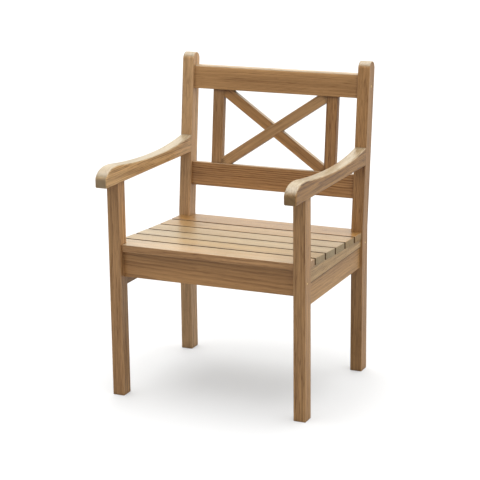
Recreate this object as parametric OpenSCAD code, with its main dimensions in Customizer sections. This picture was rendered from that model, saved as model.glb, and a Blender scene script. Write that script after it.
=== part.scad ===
// Garden armchair in solid hardwood: a mortised frame, a dished seat of slats across, and a raked back
// with crossed braces. Millimetres. The chair faces -Y and stands on z = 0. Left is -X and right is +X,
// as seen when facing it.
// Distances along Y are set out from the front faces of the front legs, and placed() then centres the chair.

/* [Frame] */
// Width over the legs and the arms
overall_w = 580; // [500:5:700]
// Height to the top of the back posts
overall_h = 897; // [850:1:960]
// From the front faces of the front legs to the front faces of the rear legs
frame_d = 440; // [400:5:500]
// Thickness of every leg, across the chair
leg_w = 35; // [32:1:45]
// Depth of the front legs
front_leg_d = 39; // [37:1:50]
// Depth of the rear legs, square to their run
rear_leg_d = 42; // [38:1:55]
// Lean of the back posts from upright, in degrees
rake = 6; // [3:0.5:9]
// How far the bend of the rear legs lies below the front of the seat
knee_drop = 5; // [0:1:8]

/* [Seat] */
// Height of the seat at its front edge
seat_h = 435; // [410:1:460]
// How far the front slat's edge stands behind the front faces of the legs
seat_set = 10; // [6:1:14]
// Depth that the seat sinks by, from the first gap to its rear edge
dish_d = 18; // [10:1:26]
// Thickness of the slats
slat_t = 20; // [16:1:24]
// Width of the gaps between slats
slat_gap = 8.5; // [5:0.5:12]
// Width of the front slat
front_slat_w = 64; // [58:1:76]
// Width of the rear slat
rear_slat_w = 87.5; // [76:0.5:100]
// How far the rear slat reaches between the rear legs
rear_slat_reach = 32; // [26:1:38]
// How far the slats' ends stand inside the outer faces of the legs
slat_in = 3; // [1:0.5:5]
// Clearance round the legs in the notches of the first and last slats
notch_gap = 1; // [0.5:0.5:2]

/* [Rails under the seat] */
// Height of the front apron
apron_h = 73; // [60:1:85]
// Thickness of the front apron
front_apron_t = 18; // [14:1:22]
// How far the front apron stands behind the front faces of the legs
front_apron_set = 20; // [16:1:22]
// Thickness of the rear apron
rear_apron_t = 22; // [16:1:26]
// Height of the side rails
side_rail_h = 62; // [50:1:75]
// Thickness of the side rails
side_rail_t = 22; // [18:1:24]
// How far the side rails stand inside the outer faces of the legs
side_rail_in = 7.5; // [5:0.5:9]
// Height of the seat bearers at their front ends
bearer_h = 40; // [36:1:50]
// Thickness of the seat bearers
bearer_t = 24; // [18:1:26]
// How far the seat bearers stand inside the outer faces of the legs
bearer_in = 5; // [3:0.5:9]

/* [Arms] */
// Height of the arms' flat underside
arm_z = 607; // [580:1:640]
// Width of the arms
arm_w = 35; // [32:1:50]
// How far the arms reach in front of the front legs
arm_nose = 64; // [40:1:90]
// Length of the rounded stretch of the nose
nose_run = 54; // [35:1:70]
// Height of the upright face of the nose
nose_face = 20; // [12:1:26]
// Radius under the nose
nose_r = 4; // [2:1:8]
// Thickness of the arms over the front legs
arm_crown_t = 52; // [46:1:60]
// Thickness of the arms at the bottom of their dip
arm_low_t = 34; // [28:1:44]
// Thickness of the arms where they meet the posts
arm_rear_t = 52; // [46:1:60]
// Where the dip starts, behind the front faces of the front legs
dip_start = 10; // [5:1:40]
// Where the dip is deepest
dip_low = 270; // [200:5:320]

/* [Back] */
// How far the top of the posts rises above the crest rail, along the posts
crest_drop = 35; // [28:1:60]
// Height of the crest rail
crest_h = 70; // [55:1:85]
// Thickness of the crest rail
crest_t = 26; // [20:1:32]
// Radius of the crest rail's two top edges
crest_r = 9; // [4:0.5:9.5]
// Height of the lower back rail's bottom edge above the bend of the rear legs, along the posts
low_rail_rise = 81; // [60:1:100]
// Height of the lower back rail
low_rail_h = 69; // [50:1:80]
// Thickness of the lower back rail
low_rail_t = 22; // [18:1:28]
// Width of the stiles
stile_w = 34; // [28:1:45]
// Thickness of the stiles
stile_t = 18; // [14:1:20]
// Clear width between a post and its stile
stile_gap = 61; // [45:1:80]
// Width of the braces
brace_w = 31; // [26:1:38]
// Thickness of the braces
brace_t = 18; // [14:1:20]

/* [Joints] */
// Clearance on each cheek of a tenon
joint_gap = 0.1; // [0.1:0.05:0.3]
// Clearance at the end of a tenon, a dowel or a screw
end_gap = 1; // [0.5:0.5:2]
// Width of the shoulder above and below a tenon
shoulder = 8; // [6:1:12]
// Thickness of the tenons on the side rails and the bearers
side_tenon_t = 8; // [6:1:9]
// Length of those tenons
side_tenon_l = 32; // [28:1:33]
// Wood between those tenons and the outer faces of the legs
side_tenon_in = 10; // [9.5:0.5:12]
// Height of the bearers' tenons
bearer_tenon_h = 15; // [13:1:16]
// Thickness of the tenons on the aprons
apron_tenon_t = 9; // [6:1:10]
// Wood between the aprons' tenons and the side tenons
tenon_web = 2; // [1.5:0.5:4]
// Thickness of the tenons on the two back rails
back_tenon_t = 10; // [8:1:12]
// Length of the tenons on the two back rails
back_tenon_l = 20; // [15:1:24]
// Thickness of the stiles' tenons
stile_tenon_t = 9; // [6:1:10]
// Length of the stiles' tenons
stile_tenon_l = 15; // [10:1:20]
// Thickness of the arms' tenons and of the tenons on the front legs
arm_tenon_t = 12; // [8:1:14]
// Length of the arms' tenons
arm_tenon_l = 22; // [15:1:28]
// Height of the tenons on the front legs
leg_tenon_h = 30; // [20:1:34]
// Diameter of the pins through the bearers' tenons
pin_d = 8; // [6:1:9]
// Distance of those pins from the face where the bearer meets the leg
pin_set = 24.5; // [20:0.5:26]
// Diameter of the dowels at the ends of the braces
dowel_d = 6; // [5:1:8]
// Length of those dowels
dowel_l = 24; // [18:1:28]
// Distance of those dowels from the stiles
dowel_in = 13; // [10:1:16]

/* [Screws] */
// Diameter of the screws into the crest rail
crest_screw_d = 5; // [4:0.5:6]
// Length of the screws into the crest rail
crest_screw_l = 70; // [55:5:90]
// Diameter of the wooden plugs over those screws
plug_d = 10; // [10:0.5:12]
// Length of the wooden plugs
plug_l = 8; // [6:0.5:9]
// Diameter of the screws up into the slats
slat_screw_d = 4; // [3.5:0.5:5]
// Length of the screws up into the slats
slat_screw_l = 34; // [30:1:35]
// How deep those screws bite into the slats
slat_bite = 14; // [10:1:14]
// Distance of those screws from the edges of a slat, where the slat is wide enough
screw_edge = 15; // [10:1:18]
// Diameter of a screw head, over that of the shank
head_ratio = 1.9; // [1.6:0.1:2]

/* [Easing] */
// Chamfer on the long edges
ease = 2; // [0.5:0.5:3]
// Chamfer under the feet
foot_ease = 3; // [1:0.5:5]

/* [Hidden] */
$fn = 48;
tiny = 0.01;
// How far a cut runs past the wood that it goes through
over = 1;
// Half widths: outer and inner faces of the legs, and the middle of their thickness
outer_x = overall_w / 2;
inner_x = outer_x - leg_w;
slat_x = outer_x - slat_in;
arm_mid_x = outer_x - arm_w / 2;
// Seat: the line of its top bends at the middle of every gap
SLATS = 6;
back_y = frame_d + rear_slat_reach;
slat_w = (back_y - rear_slat_w - seat_set - front_slat_w - (SLATS - 1) * slat_gap) / (SLATS - 2);
seat_bends = [for (i = [0:SLATS]) [bend_y(i), dished(bend_y(i))]];
rail_top = seat_h - slat_t - bearer_h;
bearer_mid_x = outer_x - bearer_in - bearer_t / 2;
side_tenon_x = outer_x - side_tenon_in - side_tenon_t;
apron_tenon_l = leg_w - side_tenon_in - side_tenon_t - tenon_web;
rear_apron_y = frame_d + rear_leg_d / 2;
// Rear legs and back, in the plane of the posts: v runs back from their front faces, w runs up from the bend
knee_z = seat_h - knee_drop;
mid_v = rear_leg_d / 2;
top_w = (overall_h - mid_v - knee_z + mid_v * sin(rake)) / cos(rake);
crest_w0 = top_w + mid_v - crest_drop - crest_h;
low_w1 = low_rail_rise + low_rail_h;
stile_x0 = inner_x - stile_gap - stile_w;
brace_rise = crest_w0 - low_w1;
brace_angle = atan2(brace_rise, 2 * stile_x0);
// Chair from the noses of the arms to the back of the posts, which placed() centres on y = 0
rear_y = frame_d + mid_v * cos(rake) + top_w * sin(rake) + mid_v;
mid_y = (rear_y - arm_nose) / 2;

// Front edge of slat i, counted from 0
function slat_y0(i) = i == 0 ? seat_set
    : seat_set + front_slat_w + slat_gap + (i - 1) * (slat_w + slat_gap);
// Rear edge of slat i
function slat_y1(i) = i == 0 ? seat_set + front_slat_w
    : i == SLATS - 1 ? back_y
    : slat_y0(i) + slat_w;
// Where the seat bends: its two edges and the middle of each gap
function bend_y(i) = i == 0 ? seat_set : i == SLATS ? back_y : slat_y0(i) - slat_gap / 2;
// Height of the hollow that the slats follow, flat as far as the first gap
function dished(y) = let (t = max(0, (y - bend_y(1)) / (back_y - bend_y(1))))
    seat_h - dish_d * (1 - pow(max(0, 1 - t), 1.5));
// Height of the seat's top, and of what carries the slats
function seat_z(y) = lookup(y, seat_bends);
function under_z(y) = seat_z(y) - slat_t;
// Front face of a back post at height z
function post_y(z) = frame_d + max(0, z - knee_z) * tan(rake);
// Thickness of an arm behind the start of its dip
function arm_t(y) = arm_low_t + (y < dip_low
    ? (arm_crown_t - arm_low_t) * pow((dip_low - y) / (dip_low - dip_start), 2)
    : (arm_rear_t - arm_low_t) * pow((y - dip_low) / (post_y(arm_z + arm_rear_t) - dip_low), 2));
// Centres of the screws across slat i, where a bearer carries it
function screw_ys(i) =
    let (y0 = max(slat_y0(i), front_leg_d + notch_gap), y1 = min(slat_y1(i), frame_d - notch_gap))
    let (edge = min(screw_edge, (y1 - y0) / 2 - 0.8 * head_ratio * slat_screw_d))
    [y0 + edge, y1 - edge];

// Centres the chair front to back
module placed() {
    translate([0, -mid_y, 0]) children();
}

// Mirrors a right-hand piece for the left-hand side, -1
module on_side(side) {
    if (side < 0) mirror([1, 0, 0]) children();
    else children();
}

// From the plane of the posts, (x, v, w), into the upright chair
module raked() {
    translate([0, frame_d, knee_z]) rotate([-rake, 0, 0]) children();
}

// Box between two corners
module box(low, high) {
    translate(low) cube(high - low);
}

// Extrudes a (y, z) outline along X between x0 and x1
module along_x(x0, x1) {
    translate([x0, 0, 0]) rotate([90, 0, 90]) linear_extrude(x1 - x0) children();
}

// Extrudes an (x, z) outline along Y between y0 and y1
module along_y(y0, y1) {
    translate([0, y1, 0]) rotate([90, 0, 0]) linear_extrude(y1 - y0) children();
}

// Rectangle between two corners with chamfered corners
module eased(low, high) {
    polygon([
        [low.x + ease, low.y], [high.x - ease, low.y], [high.x, low.y + ease], [high.x, high.y - ease],
        [high.x - ease, high.y], [low.x + ease, high.y], [low.x, high.y - ease], [low.x, low.y + ease]
    ]);
}

// Upright outline from a to b with chamfers under the foot
module footed(a, b, h) {
    polygon([[a + foot_ease, 0], [b - foot_ease, 0], [b, foot_ease], [b, h], [a, h], [a, foot_ease]]);
}

// Tenons. Each is drawn with a clearance of 0, and its mortise with that of the joint.

// Right-hand tenons of the front apron and of the rear apron
module front_apron_tenon(gap, end) {
    y = front_apron_set + front_apron_t / 2;
    z1 = seat_h - slat_t;
    box([inner_x - tiny, y - apron_tenon_t / 2 - gap, z1 - apron_h + shoulder - gap],
        [inner_x + apron_tenon_l + end, y + apron_tenon_t / 2 + gap, z1 - shoulder + gap]);
}

module rear_apron_tenon(gap, end) {
    box([inner_x - tiny, rear_apron_y - apron_tenon_t / 2 - gap, seat_h - slat_t - apron_h + shoulder - gap],
        [inner_x + apron_tenon_l + end, rear_apron_y + apron_tenon_t / 2 + gap, under_z(back_y) - shoulder + gap]);
}

// Right-hand tenons of a side rail, into the front leg and into the rear leg
module side_rail_tenons(gap, end) {
    box([side_tenon_x - gap, front_leg_d - side_tenon_l - end, rail_top - side_rail_h + shoulder - gap],
        [side_tenon_x + side_tenon_t + gap, front_leg_d + tiny, rail_top - shoulder + gap]);
    box([side_tenon_x - gap, frame_d - tiny, rail_top - side_rail_h + shoulder - gap],
        [side_tenon_x + side_tenon_t + gap, frame_d + side_tenon_l + end, rail_top - shoulder + gap]);
}

// Right-hand tenons of a seat bearer, level with its bottom edge
module bearer_tenons(gap, end) {
    box([side_tenon_x - gap, front_leg_d - side_tenon_l - end, rail_top - gap],
        [side_tenon_x + side_tenon_t + gap, front_leg_d + tiny, rail_top + bearer_tenon_h + gap]);
    box([side_tenon_x - gap, frame_d - tiny, rail_top - gap],
        [side_tenon_x + side_tenon_t + gap, frame_d + side_tenon_l + end, rail_top + bearer_tenon_h + gap]);
}

// Tenon on top of the right front leg, up into the arm
module leg_top_tenon(gap, end) {
    x = outer_x - leg_w / 2;
    box([x - arm_tenon_t / 2 - gap, ease + shoulder - gap, arm_z - tiny],
        [x + arm_tenon_t / 2 + gap, front_leg_d - ease - shoulder + gap, arm_z + leg_tenon_h + end]);
}

// Tenon on the rear end of the right arm, back into the post
module arm_tenon(gap, end) {
    x = outer_x - leg_w / 2;
    z0 = arm_z + shoulder;
    z1 = arm_z + arm_low_t + shoulder;
    box([x - arm_tenon_t / 2 - gap, post_y(z0) - 2 * shoulder, z0 - gap],
        [x + arm_tenon_t / 2 + gap, post_y(z0) + arm_tenon_l + end, z1 + gap]);
}

// Right-hand tenon of a back rail that starts at w0, in the plane of the posts
module back_tenon(w0, h, gap, end) {
    box([inner_x - tiny, mid_v - back_tenon_t / 2 - gap, w0 + shoulder - gap],
        [inner_x + back_tenon_l + end, mid_v + back_tenon_t / 2 + gap, w0 + h - shoulder + gap]);
}

// Both tenons of the right stile, in the plane of the posts
module stile_tenons(gap, end) {
    x0 = stile_x0 + shoulder / 2;
    x1 = stile_x0 + stile_w - shoulder / 2;
    box([x0 - gap, mid_v - stile_tenon_t / 2 - gap, low_w1 - stile_tenon_l - end],
        [x1 + gap, mid_v + stile_tenon_t / 2 + gap, crest_w0 + stile_tenon_l + end]);
}

// Pins, dowels and screws, and the holes that take them

// Right-hand pins through the bearers' tenons, front and rear
module pins(gap, end) {
    for (y = [front_leg_d - pin_set, frame_d + pin_set])
        translate([side_tenon_x - tenon_web / 2 - end, y, rail_top + bearer_tenon_h / 2])
            rotate([0, 90, 0]) cylinder(d = pin_d + 2 * gap, h = outer_x - side_tenon_x + tenon_web / 2 + end);
}

// Dowels at both ends of the right-hand stile's inner face, in the plane of the posts
module dowels(gap, end) {
    for (w = [low_w1, crest_w0])
        translate([stile_x0 - dowel_in, mid_v, w - dowel_l / 2 - end])
            cylinder(d = dowel_d + 2 * gap, h = dowel_l + 2 * end);
}

// Countersunk screw along +Z with the top of its head at the origin
module screw(d, l, gap = 0, end = 0) {
    head_d = head_ratio * d;
    head_h = (head_d - d) / 2;
    rotate_extrude() polygon([
        [0, 0], [head_d / 2 + gap, 0], [d / 2 + gap, head_h + gap],
        [d / 2 + gap, l - d + end], [0, l + end]
    ]);
}

// Right-hand screw through the post into the crest rail, in the plane of the posts
module crest_screw(gap, end) {
    translate([outer_x - plug_l, mid_v, crest_w0 + crest_h / 2])
        rotate([0, -90, 0]) screw(crest_screw_d, crest_screw_l, gap, end);
}

// Right-hand plug over that screw
module crest_plug(gap) {
    translate([outer_x - plug_l, mid_v, crest_w0 + crest_h / 2])
        rotate([0, 90, 0]) cylinder(d = plug_d + 2 * gap, h = plug_l);
}

// Right-hand screws up through the bearer into slat i, with a sunk hole below each when gap isn't 0
module slat_screw_pair(i, gap, end) {
    for (y = screw_ys(i)) {
        head_z = under_z(y) + slat_bite - slat_screw_l;
        translate([bearer_mid_x, y, head_z]) screw(slat_screw_d, slat_screw_l, gap, end);
        if (gap > 0)
            translate([bearer_mid_x, y, rail_top - over])
                cylinder(d = head_ratio * slat_screw_d + 2 * gap, h = head_z - rail_top + over);
    }
}

// Legs

module front_leg(side) {
    color("peru") placed() on_side(side) {
        difference() {
            intersection() {
                linear_extrude(arm_z) eased([inner_x, 0], [outer_x, front_leg_d]);
                along_x(inner_x, outer_x) footed(0, front_leg_d, arm_z);
                along_y(0, front_leg_d) footed(inner_x, outer_x, arm_z);
            }
            front_apron_tenon(joint_gap, end_gap);
            side_rail_tenons(joint_gap, end_gap);
            bearer_tenons(joint_gap, end_gap);
            pins(joint_gap, 0);
        }
        leg_top_tenon(0, 0);
    }
}

// Side outline of a rear leg: upright to the bend, then leaning back to a half-round top
module rear_leg_outline() {
    back_knee = knee_z - rear_leg_d * tan(rake / 2);
    front_top = [frame_d + top_w * sin(rake), knee_z + top_w * cos(rake)];
    across = rear_leg_d * [cos(rake), -sin(rake)];
    polygon([
        [frame_d, knee_z], [frame_d, foot_ease], [frame_d + foot_ease, 0],
        [frame_d + rear_leg_d - foot_ease, 0], [frame_d + rear_leg_d, foot_ease],
        [frame_d + rear_leg_d, back_knee], front_top + across, front_top
    ]);
    translate(front_top + across / 2) circle(d = rear_leg_d);
}

module rear_leg(side) {
    color("peru") placed() on_side(side)
        difference() {
            intersection() {
                along_x(inner_x, outer_x) rear_leg_outline();
                along_y(frame_d, rear_y) footed(inner_x, outer_x, overall_h + over);
            }
            rear_apron_tenon(joint_gap, end_gap);
            side_rail_tenons(joint_gap, end_gap);
            bearer_tenons(joint_gap, end_gap);
            pins(joint_gap, 0);
            arm_tenon(joint_gap, end_gap);
            raked() {
                back_tenon(low_rail_rise, low_rail_h, joint_gap, end_gap);
                back_tenon(crest_w0, crest_h, joint_gap, end_gap);
                crest_screw(joint_gap, end_gap);
                crest_plug(joint_gap);
            }
        }
}

// Arms

// Side outline of an arm: round nose, crown over the leg, dip, and rear end lying on the raked post
module arm_outline() {
    rear_z = arm_z + arm_rear_t;
    under = [for (a = [90:-30:0]) [nose_r - arm_nose - nose_r * cos(a), arm_z + nose_r - nose_r * sin(a)]];
    nose = [for (a = [0:10:90])
        [nose_run - arm_nose - nose_run * cos(a), arm_z + nose_face + (arm_crown_t - nose_face) * sin(a)]];
    dip = [for (k = [0:24]) let (y = dip_start + (post_y(rear_z) - dip_start) * k / 24) [y, arm_z + arm_t(y)]];
    polygon(concat([[post_y(arm_z), arm_z]], under, nose, dip));
}

module armrest(side) {
    color("burlywood") placed() on_side(side)
        difference() {
            union() {
                along_x(arm_mid_x - arm_w / 2, outer_x) arm_outline();
                arm_tenon(0, 0);
            }
            leg_top_tenon(joint_gap, end_gap);
        }
}

// Rails under the seat

module front_apron() {
    z1 = seat_h - slat_t;
    color("sienna") placed() {
        along_x(-inner_x, inner_x)
            eased([front_apron_set, z1 - apron_h], [front_apron_set + front_apron_t, z1]);
        for (side = [-1, 1]) on_side(side) front_apron_tenon(0, 0);
    }
}

// The rear apron's top slopes with the rear slat that lies on it
module rear_apron() {
    y0 = rear_apron_y - rear_apron_t / 2;
    y1 = min(rear_apron_y + rear_apron_t / 2, back_y);
    z0 = seat_h - slat_t - apron_h;
    color("sienna") placed() {
        along_x(-inner_x, inner_x) polygon([
            [y0 + ease, z0], [y1 - ease, z0], [y1, z0 + ease],
            [y1, under_z(y1)], [y0, under_z(y0)], [y0, z0 + ease]
        ]);
        for (side = [-1, 1]) on_side(side) rear_apron_tenon(0, 0);
    }
}

module side_rail(side) {
    color("sienna") placed() on_side(side) {
        x1 = outer_x - side_rail_in;
        along_y(front_leg_d, frame_d) eased([x1 - side_rail_t, rail_top - side_rail_h], [x1, rail_top]);
        side_rail_tenons(0, 0);
    }
}

// A bearer's top follows the undersides of the slats
module seat_bearer(side) {
    inside = [for (p = seat_bends) if (p.x > front_leg_d && p.x < frame_d) [p.x, p.y - slat_t]];
    color("tan") placed() on_side(side)
        difference() {
            union() {
                along_x(bearer_mid_x - bearer_t / 2, bearer_mid_x + bearer_t / 2) polygon(concat(
                    [[frame_d, rail_top], [front_leg_d, rail_top], [front_leg_d, under_z(front_leg_d)]],
                    inside, [[frame_d, under_z(frame_d)]]));
                bearer_tenons(0, 0);
            }
            pins(joint_gap, 0);
            for (i = [0:SLATS - 1]) slat_screw_pair(i, joint_gap, end_gap);
        }
}

// Seat

// Slat i, counted from 0: its two top edges are eased, and it is cut round the legs that it meets
module seat_slat(i) {
    y0 = slat_y0(i);
    y1 = slat_y1(i);
    color("wheat") placed()
        difference() {
            along_x(-slat_x, slat_x) polygon([
                [y0, under_z(y0)], [y1, under_z(y1)], [y1, seat_z(y1) - ease], [y1 - ease, seat_z(y1 - ease)],
                [y0 + ease, seat_z(y0 + ease)], [y0, seat_z(y0) - ease]
            ]);
            for (side = [-1, 1]) on_side(side) {
                box([inner_x - notch_gap, -over, 0], [outer_x, front_leg_d + notch_gap, seat_h + over]);
                box([inner_x - notch_gap, frame_d - notch_gap, 0], [outer_x, back_y + over, seat_h + over]);
                slat_screw_pair(i, joint_gap, end_gap);
            }
        }
}

// Back

module lower_back_rail() {
    color("sienna") placed() raked()
        difference() {
            union() {
                along_x(-inner_x, inner_x)
                    eased([mid_v - low_rail_t / 2, low_rail_rise], [mid_v + low_rail_t / 2, low_w1]);
                for (side = [-1, 1]) on_side(side) back_tenon(low_rail_rise, low_rail_h, 0, 0);
            }
            for (side = [-1, 1]) on_side(side) {
                stile_tenons(joint_gap, end_gap);
                dowels(joint_gap, end_gap);
            }
        }
}

// The crest rail's section has a square bottom and two round top edges
module crest_outline() {
    v0 = mid_v - crest_t / 2;
    v1 = mid_v + crest_t / 2;
    w1 = crest_w0 + crest_h;
    polygon([
        [v0, crest_w0], [v1, crest_w0], [v1, w1 - crest_r], [v1 - crest_r, w1],
        [v0 + crest_r, w1], [v0, w1 - crest_r]
    ]);
    for (v = [v0 + crest_r, v1 - crest_r]) translate([v, w1 - crest_r]) circle(crest_r);
}

module crest_rail() {
    color("peru") placed() raked()
        difference() {
            union() {
                along_x(-inner_x, inner_x) crest_outline();
                for (side = [-1, 1]) on_side(side) back_tenon(crest_w0, crest_h, 0, 0);
            }
            for (side = [-1, 1]) on_side(side) {
                stile_tenons(joint_gap, end_gap);
                dowels(joint_gap, end_gap);
                crest_screw(joint_gap, end_gap);
            }
        }
}

module back_stile(side) {
    color("sienna") placed() raked() on_side(side) {
        box([stile_x0, mid_v - stile_t / 2, low_w1], [stile_x0 + stile_w, mid_v + stile_t / 2, crest_w0]);
        stile_tenons(0, 0);
    }
}

// Outline of a brace between the stiles and the rails: rising to the right for 1, falling for -1
module brace_outline(way, gap = 0) {
    intersection() {
        translate([-stile_x0, low_w1]) square([2 * stile_x0, brace_rise]);
        translate([0, low_w1 + brace_rise / 2]) rotate(way * brace_angle)
            square([2 * overall_w, brace_w + 2 * gap], center = true);
    }
}

// The rising brace runs through in front, and the falling one behind it: each loses half where they cross
module back_brace(way) {
    v0 = mid_v - brace_t / 2;
    v1 = mid_v + brace_t / 2;
    color("sienna") placed() raked()
        difference() {
            along_y(v0, v1) brace_outline(way);
            along_y(way > 0 ? mid_v : v0 - over, way > 0 ? v1 + over : mid_v) brace_outline(-way, joint_gap);
            for (side = [-1, 1]) on_side(side) dowels(joint_gap, end_gap);
        }
}

// Fasteners

module brace_dowels() {
    color("burlywood") placed() raked() for (side = [-1, 1]) on_side(side) dowels(0, 0);
}

module bearer_pins() {
    color("burlywood") placed() for (side = [-1, 1]) on_side(side) pins(0, 0);
}

module crest_screws() {
    color("silver") placed() raked() for (side = [-1, 1]) on_side(side) crest_screw(0, 0);
}

module crest_plugs() {
    color("burlywood") placed() raked() for (side = [-1, 1]) on_side(side) crest_plug(0);
}

module slat_screws() {
    color("silver") placed()
        for (side = [-1, 1]) on_side(side)
            for (i = [0:SLATS - 1]) slat_screw_pair(i, 0, 0);
}

front_leg(-1);  // front_leg_left
front_leg(1);  // front_leg_right
rear_leg(-1);  // rear_leg_left
rear_leg(1);  // rear_leg_right
armrest(-1);  // armrest_left
armrest(1);  // armrest_right
front_apron();
rear_apron();
side_rail(-1);  // side_rail_left
side_rail(1);  // side_rail_right
seat_bearer(-1);  // seat_bearer_left
seat_bearer(1);  // seat_bearer_right
seat_slat(0);  // seat_slat_1
seat_slat(1);  // seat_slat_2
seat_slat(2);  // seat_slat_3
seat_slat(3);  // seat_slat_4
seat_slat(4);  // seat_slat_5
seat_slat(5);  // seat_slat_6
lower_back_rail();
crest_rail();
back_stile(-1);  // back_stile_left
back_stile(1);  // back_stile_right
back_brace(1);  // back_brace_rising
back_brace(-1);  // back_brace_falling
brace_dowels();
bearer_pins();
crest_screws();
crest_plugs();
slat_screws();
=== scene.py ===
"""Looks of a hardwood garden armchair: eased teak members, their grain and a plain studio.

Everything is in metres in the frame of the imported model: +Z is up and the chair faces -Y.
Left is -X and right is +X, as seen when facing the chair.
"""
import logging
import math
from dataclasses import dataclass
from enum import Enum
from typing import Callable, ClassVar, Mapping, Optional, Sequence, Union

import bmesh
import bpy
from mathutils import Euler, Matrix, Vector


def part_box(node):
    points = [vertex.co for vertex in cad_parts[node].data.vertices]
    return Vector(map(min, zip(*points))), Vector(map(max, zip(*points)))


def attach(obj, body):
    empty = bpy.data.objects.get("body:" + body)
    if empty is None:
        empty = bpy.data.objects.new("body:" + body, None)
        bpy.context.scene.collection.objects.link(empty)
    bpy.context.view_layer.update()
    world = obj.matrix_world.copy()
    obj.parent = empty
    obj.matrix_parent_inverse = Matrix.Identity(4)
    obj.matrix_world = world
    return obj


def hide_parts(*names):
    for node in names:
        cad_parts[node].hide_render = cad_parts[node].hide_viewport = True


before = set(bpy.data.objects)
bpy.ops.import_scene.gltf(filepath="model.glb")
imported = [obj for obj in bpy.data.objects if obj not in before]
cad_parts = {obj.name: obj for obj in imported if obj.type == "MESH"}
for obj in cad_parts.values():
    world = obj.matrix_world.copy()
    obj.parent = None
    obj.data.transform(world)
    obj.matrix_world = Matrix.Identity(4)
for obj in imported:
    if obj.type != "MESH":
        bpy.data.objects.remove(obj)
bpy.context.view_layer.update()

log = logging.getLogger("chair")

MM = 0.001
BODY = "root"
ARRIS = "arris"
CREVICE = "crevice"
FAR = 9.0
SHARP_ANGLE = math.radians(30)
ARC_STEPS = 8
HOLE_SIDES = 32
PEG_SIDES = 40
SLATS = 6
X_AXIS = (1.0, 0.0, 0.0)
Y_AXIS = (0.0, 1.0, 0.0)
Z_AXIS = (0.0, 0.0, 1.0)
UNMOVED = Matrix.Identity(4)
WHITE = (1.0, 1.0, 1.0, 1.0)

Point = tuple[float, float]
Triple = tuple[float, float, float]
Colour = tuple[float, float, float, float]
Value = Union["Wire", float, int, bool, str, Sequence[float], bpy.types.ID]
Inputs = Mapping[Union[str, int], Value]
Sockets = Mapping[str, Sequence[str]]


class Side(Enum):
    """The two sides of the chair, as seen when facing it."""

    LEFT = -1
    RIGHT = 1

    @property
    def word(self) -> str:
        """The side's name as the nodes spell it."""
        return self.name.lower()

    def span(self, near: float, far: float) -> list[float]:
        """Turns two distances from the middle of the chair into X on this side, in order."""
        return sorted((self.value * near, self.value * far))


class Along(Enum):
    """The axis that an outline is extruded along."""

    X = 0
    Y = 1
    Z = 2

    def point(self, flat: Point, depth: float) -> Triple:
        """Puts a point of the outline in space.

        Args:
            flat: Its place along the two other axes, in order.
            depth: Its place along this one.

        Returns:
            The point.
        """
        place = list(flat)
        place.insert(self.value, depth)
        return tuple(place)


class Way(Enum):
    """The direction of a back brace, seen from the front, from left to right."""

    RISING = 1
    FALLING = -1


class Wire:
    """An output of a node, which plain operators carry on.

    A name or a number in brackets gives another output of the same node.
    """

    def __init__(self, wiring: "Wiring", node: bpy.types.Node, out: Union[str, int] = 0) -> None:
        """Takes an output of a node.

        Args:
            wiring: The wiring of the tree.
            node: The node.
            out: The output's name or number.
        """
        self.wiring = wiring
        self.node = node
        self.out = out

    @property
    def socket(self) -> bpy.types.NodeSocket:
        """The output's own socket."""
        return self.node.outputs[self.out]

    def __getitem__(self, out: Union[str, int]) -> "Wire":
        """Another output of the node."""
        return Wire(self.wiring, self.node, out)

    def __add__(self, other: Value) -> "Wire":
        """The sum of two values."""
        return self.math("ADD", other)

    def __sub__(self, other: Value) -> "Wire":
        """The difference of two values."""
        return self.math("SUBTRACT", other)

    def __rsub__(self, other: float) -> "Wire":
        """A plain number less this one."""
        return self.wiring.add("ShaderNodeMath", {0: other, 1: self}, operation="SUBTRACT")

    def __mul__(self, other: Value) -> "Wire":
        """The product of two values."""
        return self.math("MULTIPLY", other)

    def __truediv__(self, other: Value) -> "Wire":
        """The quotient of two values."""
        return self.math("DIVIDE", other)

    def math(self, operation: str, *others: Value) -> "Wire":
        """Adds a Math node, or a Vector Math node if this is a vector.

        Args:
            operation: The node's operation.
            *others: Its further inputs in order.

        Returns:
            The result.
        """
        kind = "ShaderNodeVectorMath" if self.socket.type == "VECTOR" else "ShaderNodeMath"
        return self.wiring.add(kind, dict(enumerate((self, *others))), operation=operation)

    def clamped(self) -> "Wire":
        """Holds a number between 0 and 1."""
        return self.wiring.add("ShaderNodeClamp", {"Value": self})

    def split(self) -> list["Wire"]:
        """Splits a vector into its three numbers."""
        parts = self.wiring.add("ShaderNodeSeparateXYZ", {0: self})
        return [parts[i] for i in range(3)]

    def ramp(self, low: Value, high: Value, to_low: Value = 0.0, to_high: Value = 1.0,
             smooth: bool = True) -> "Wire":
        """Carries a number from one range to another, held at both ends.

        Args:
            low: Start of its range.
            high: End of its range.
            to_low: What the start becomes.
            to_high: What the end becomes.
            smooth: Whether it eases in and out.

        Returns:
            The carried number.
        """
        kind = "SMOOTHSTEP" if smooth else "LINEAR"
        inputs = dict(enumerate((self, low, high, to_low, to_high)))
        return self.wiring.add("ShaderNodeMapRange", inputs, interpolation_type=kind)

    def noise(self, stretch: Triple, detail: float = 2.0, roughness: float = 0.5) -> "Wire":
        """Adds noise at this place, which is in metres.

        Args:
            stretch: Features per metre along each axis.
            detail: Number of octaves.
            roughness: Weight of the finer octaves.

        Returns:
            The noise, from 0 to 1.
        """
        inputs = {"Vector": self * stretch, "Scale": 1.0, "Detail": detail, "Roughness": roughness}
        return self.wiring.add("ShaderNodeTexNoise", inputs)

    def swing(self, stretch: Triple, detail: float = 2.0, roughness: float = 0.5) -> "Wire":
        """Adds the same noise, but swinging about 0."""
        return self.noise(stretch, detail, roughness) - 0.5


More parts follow.
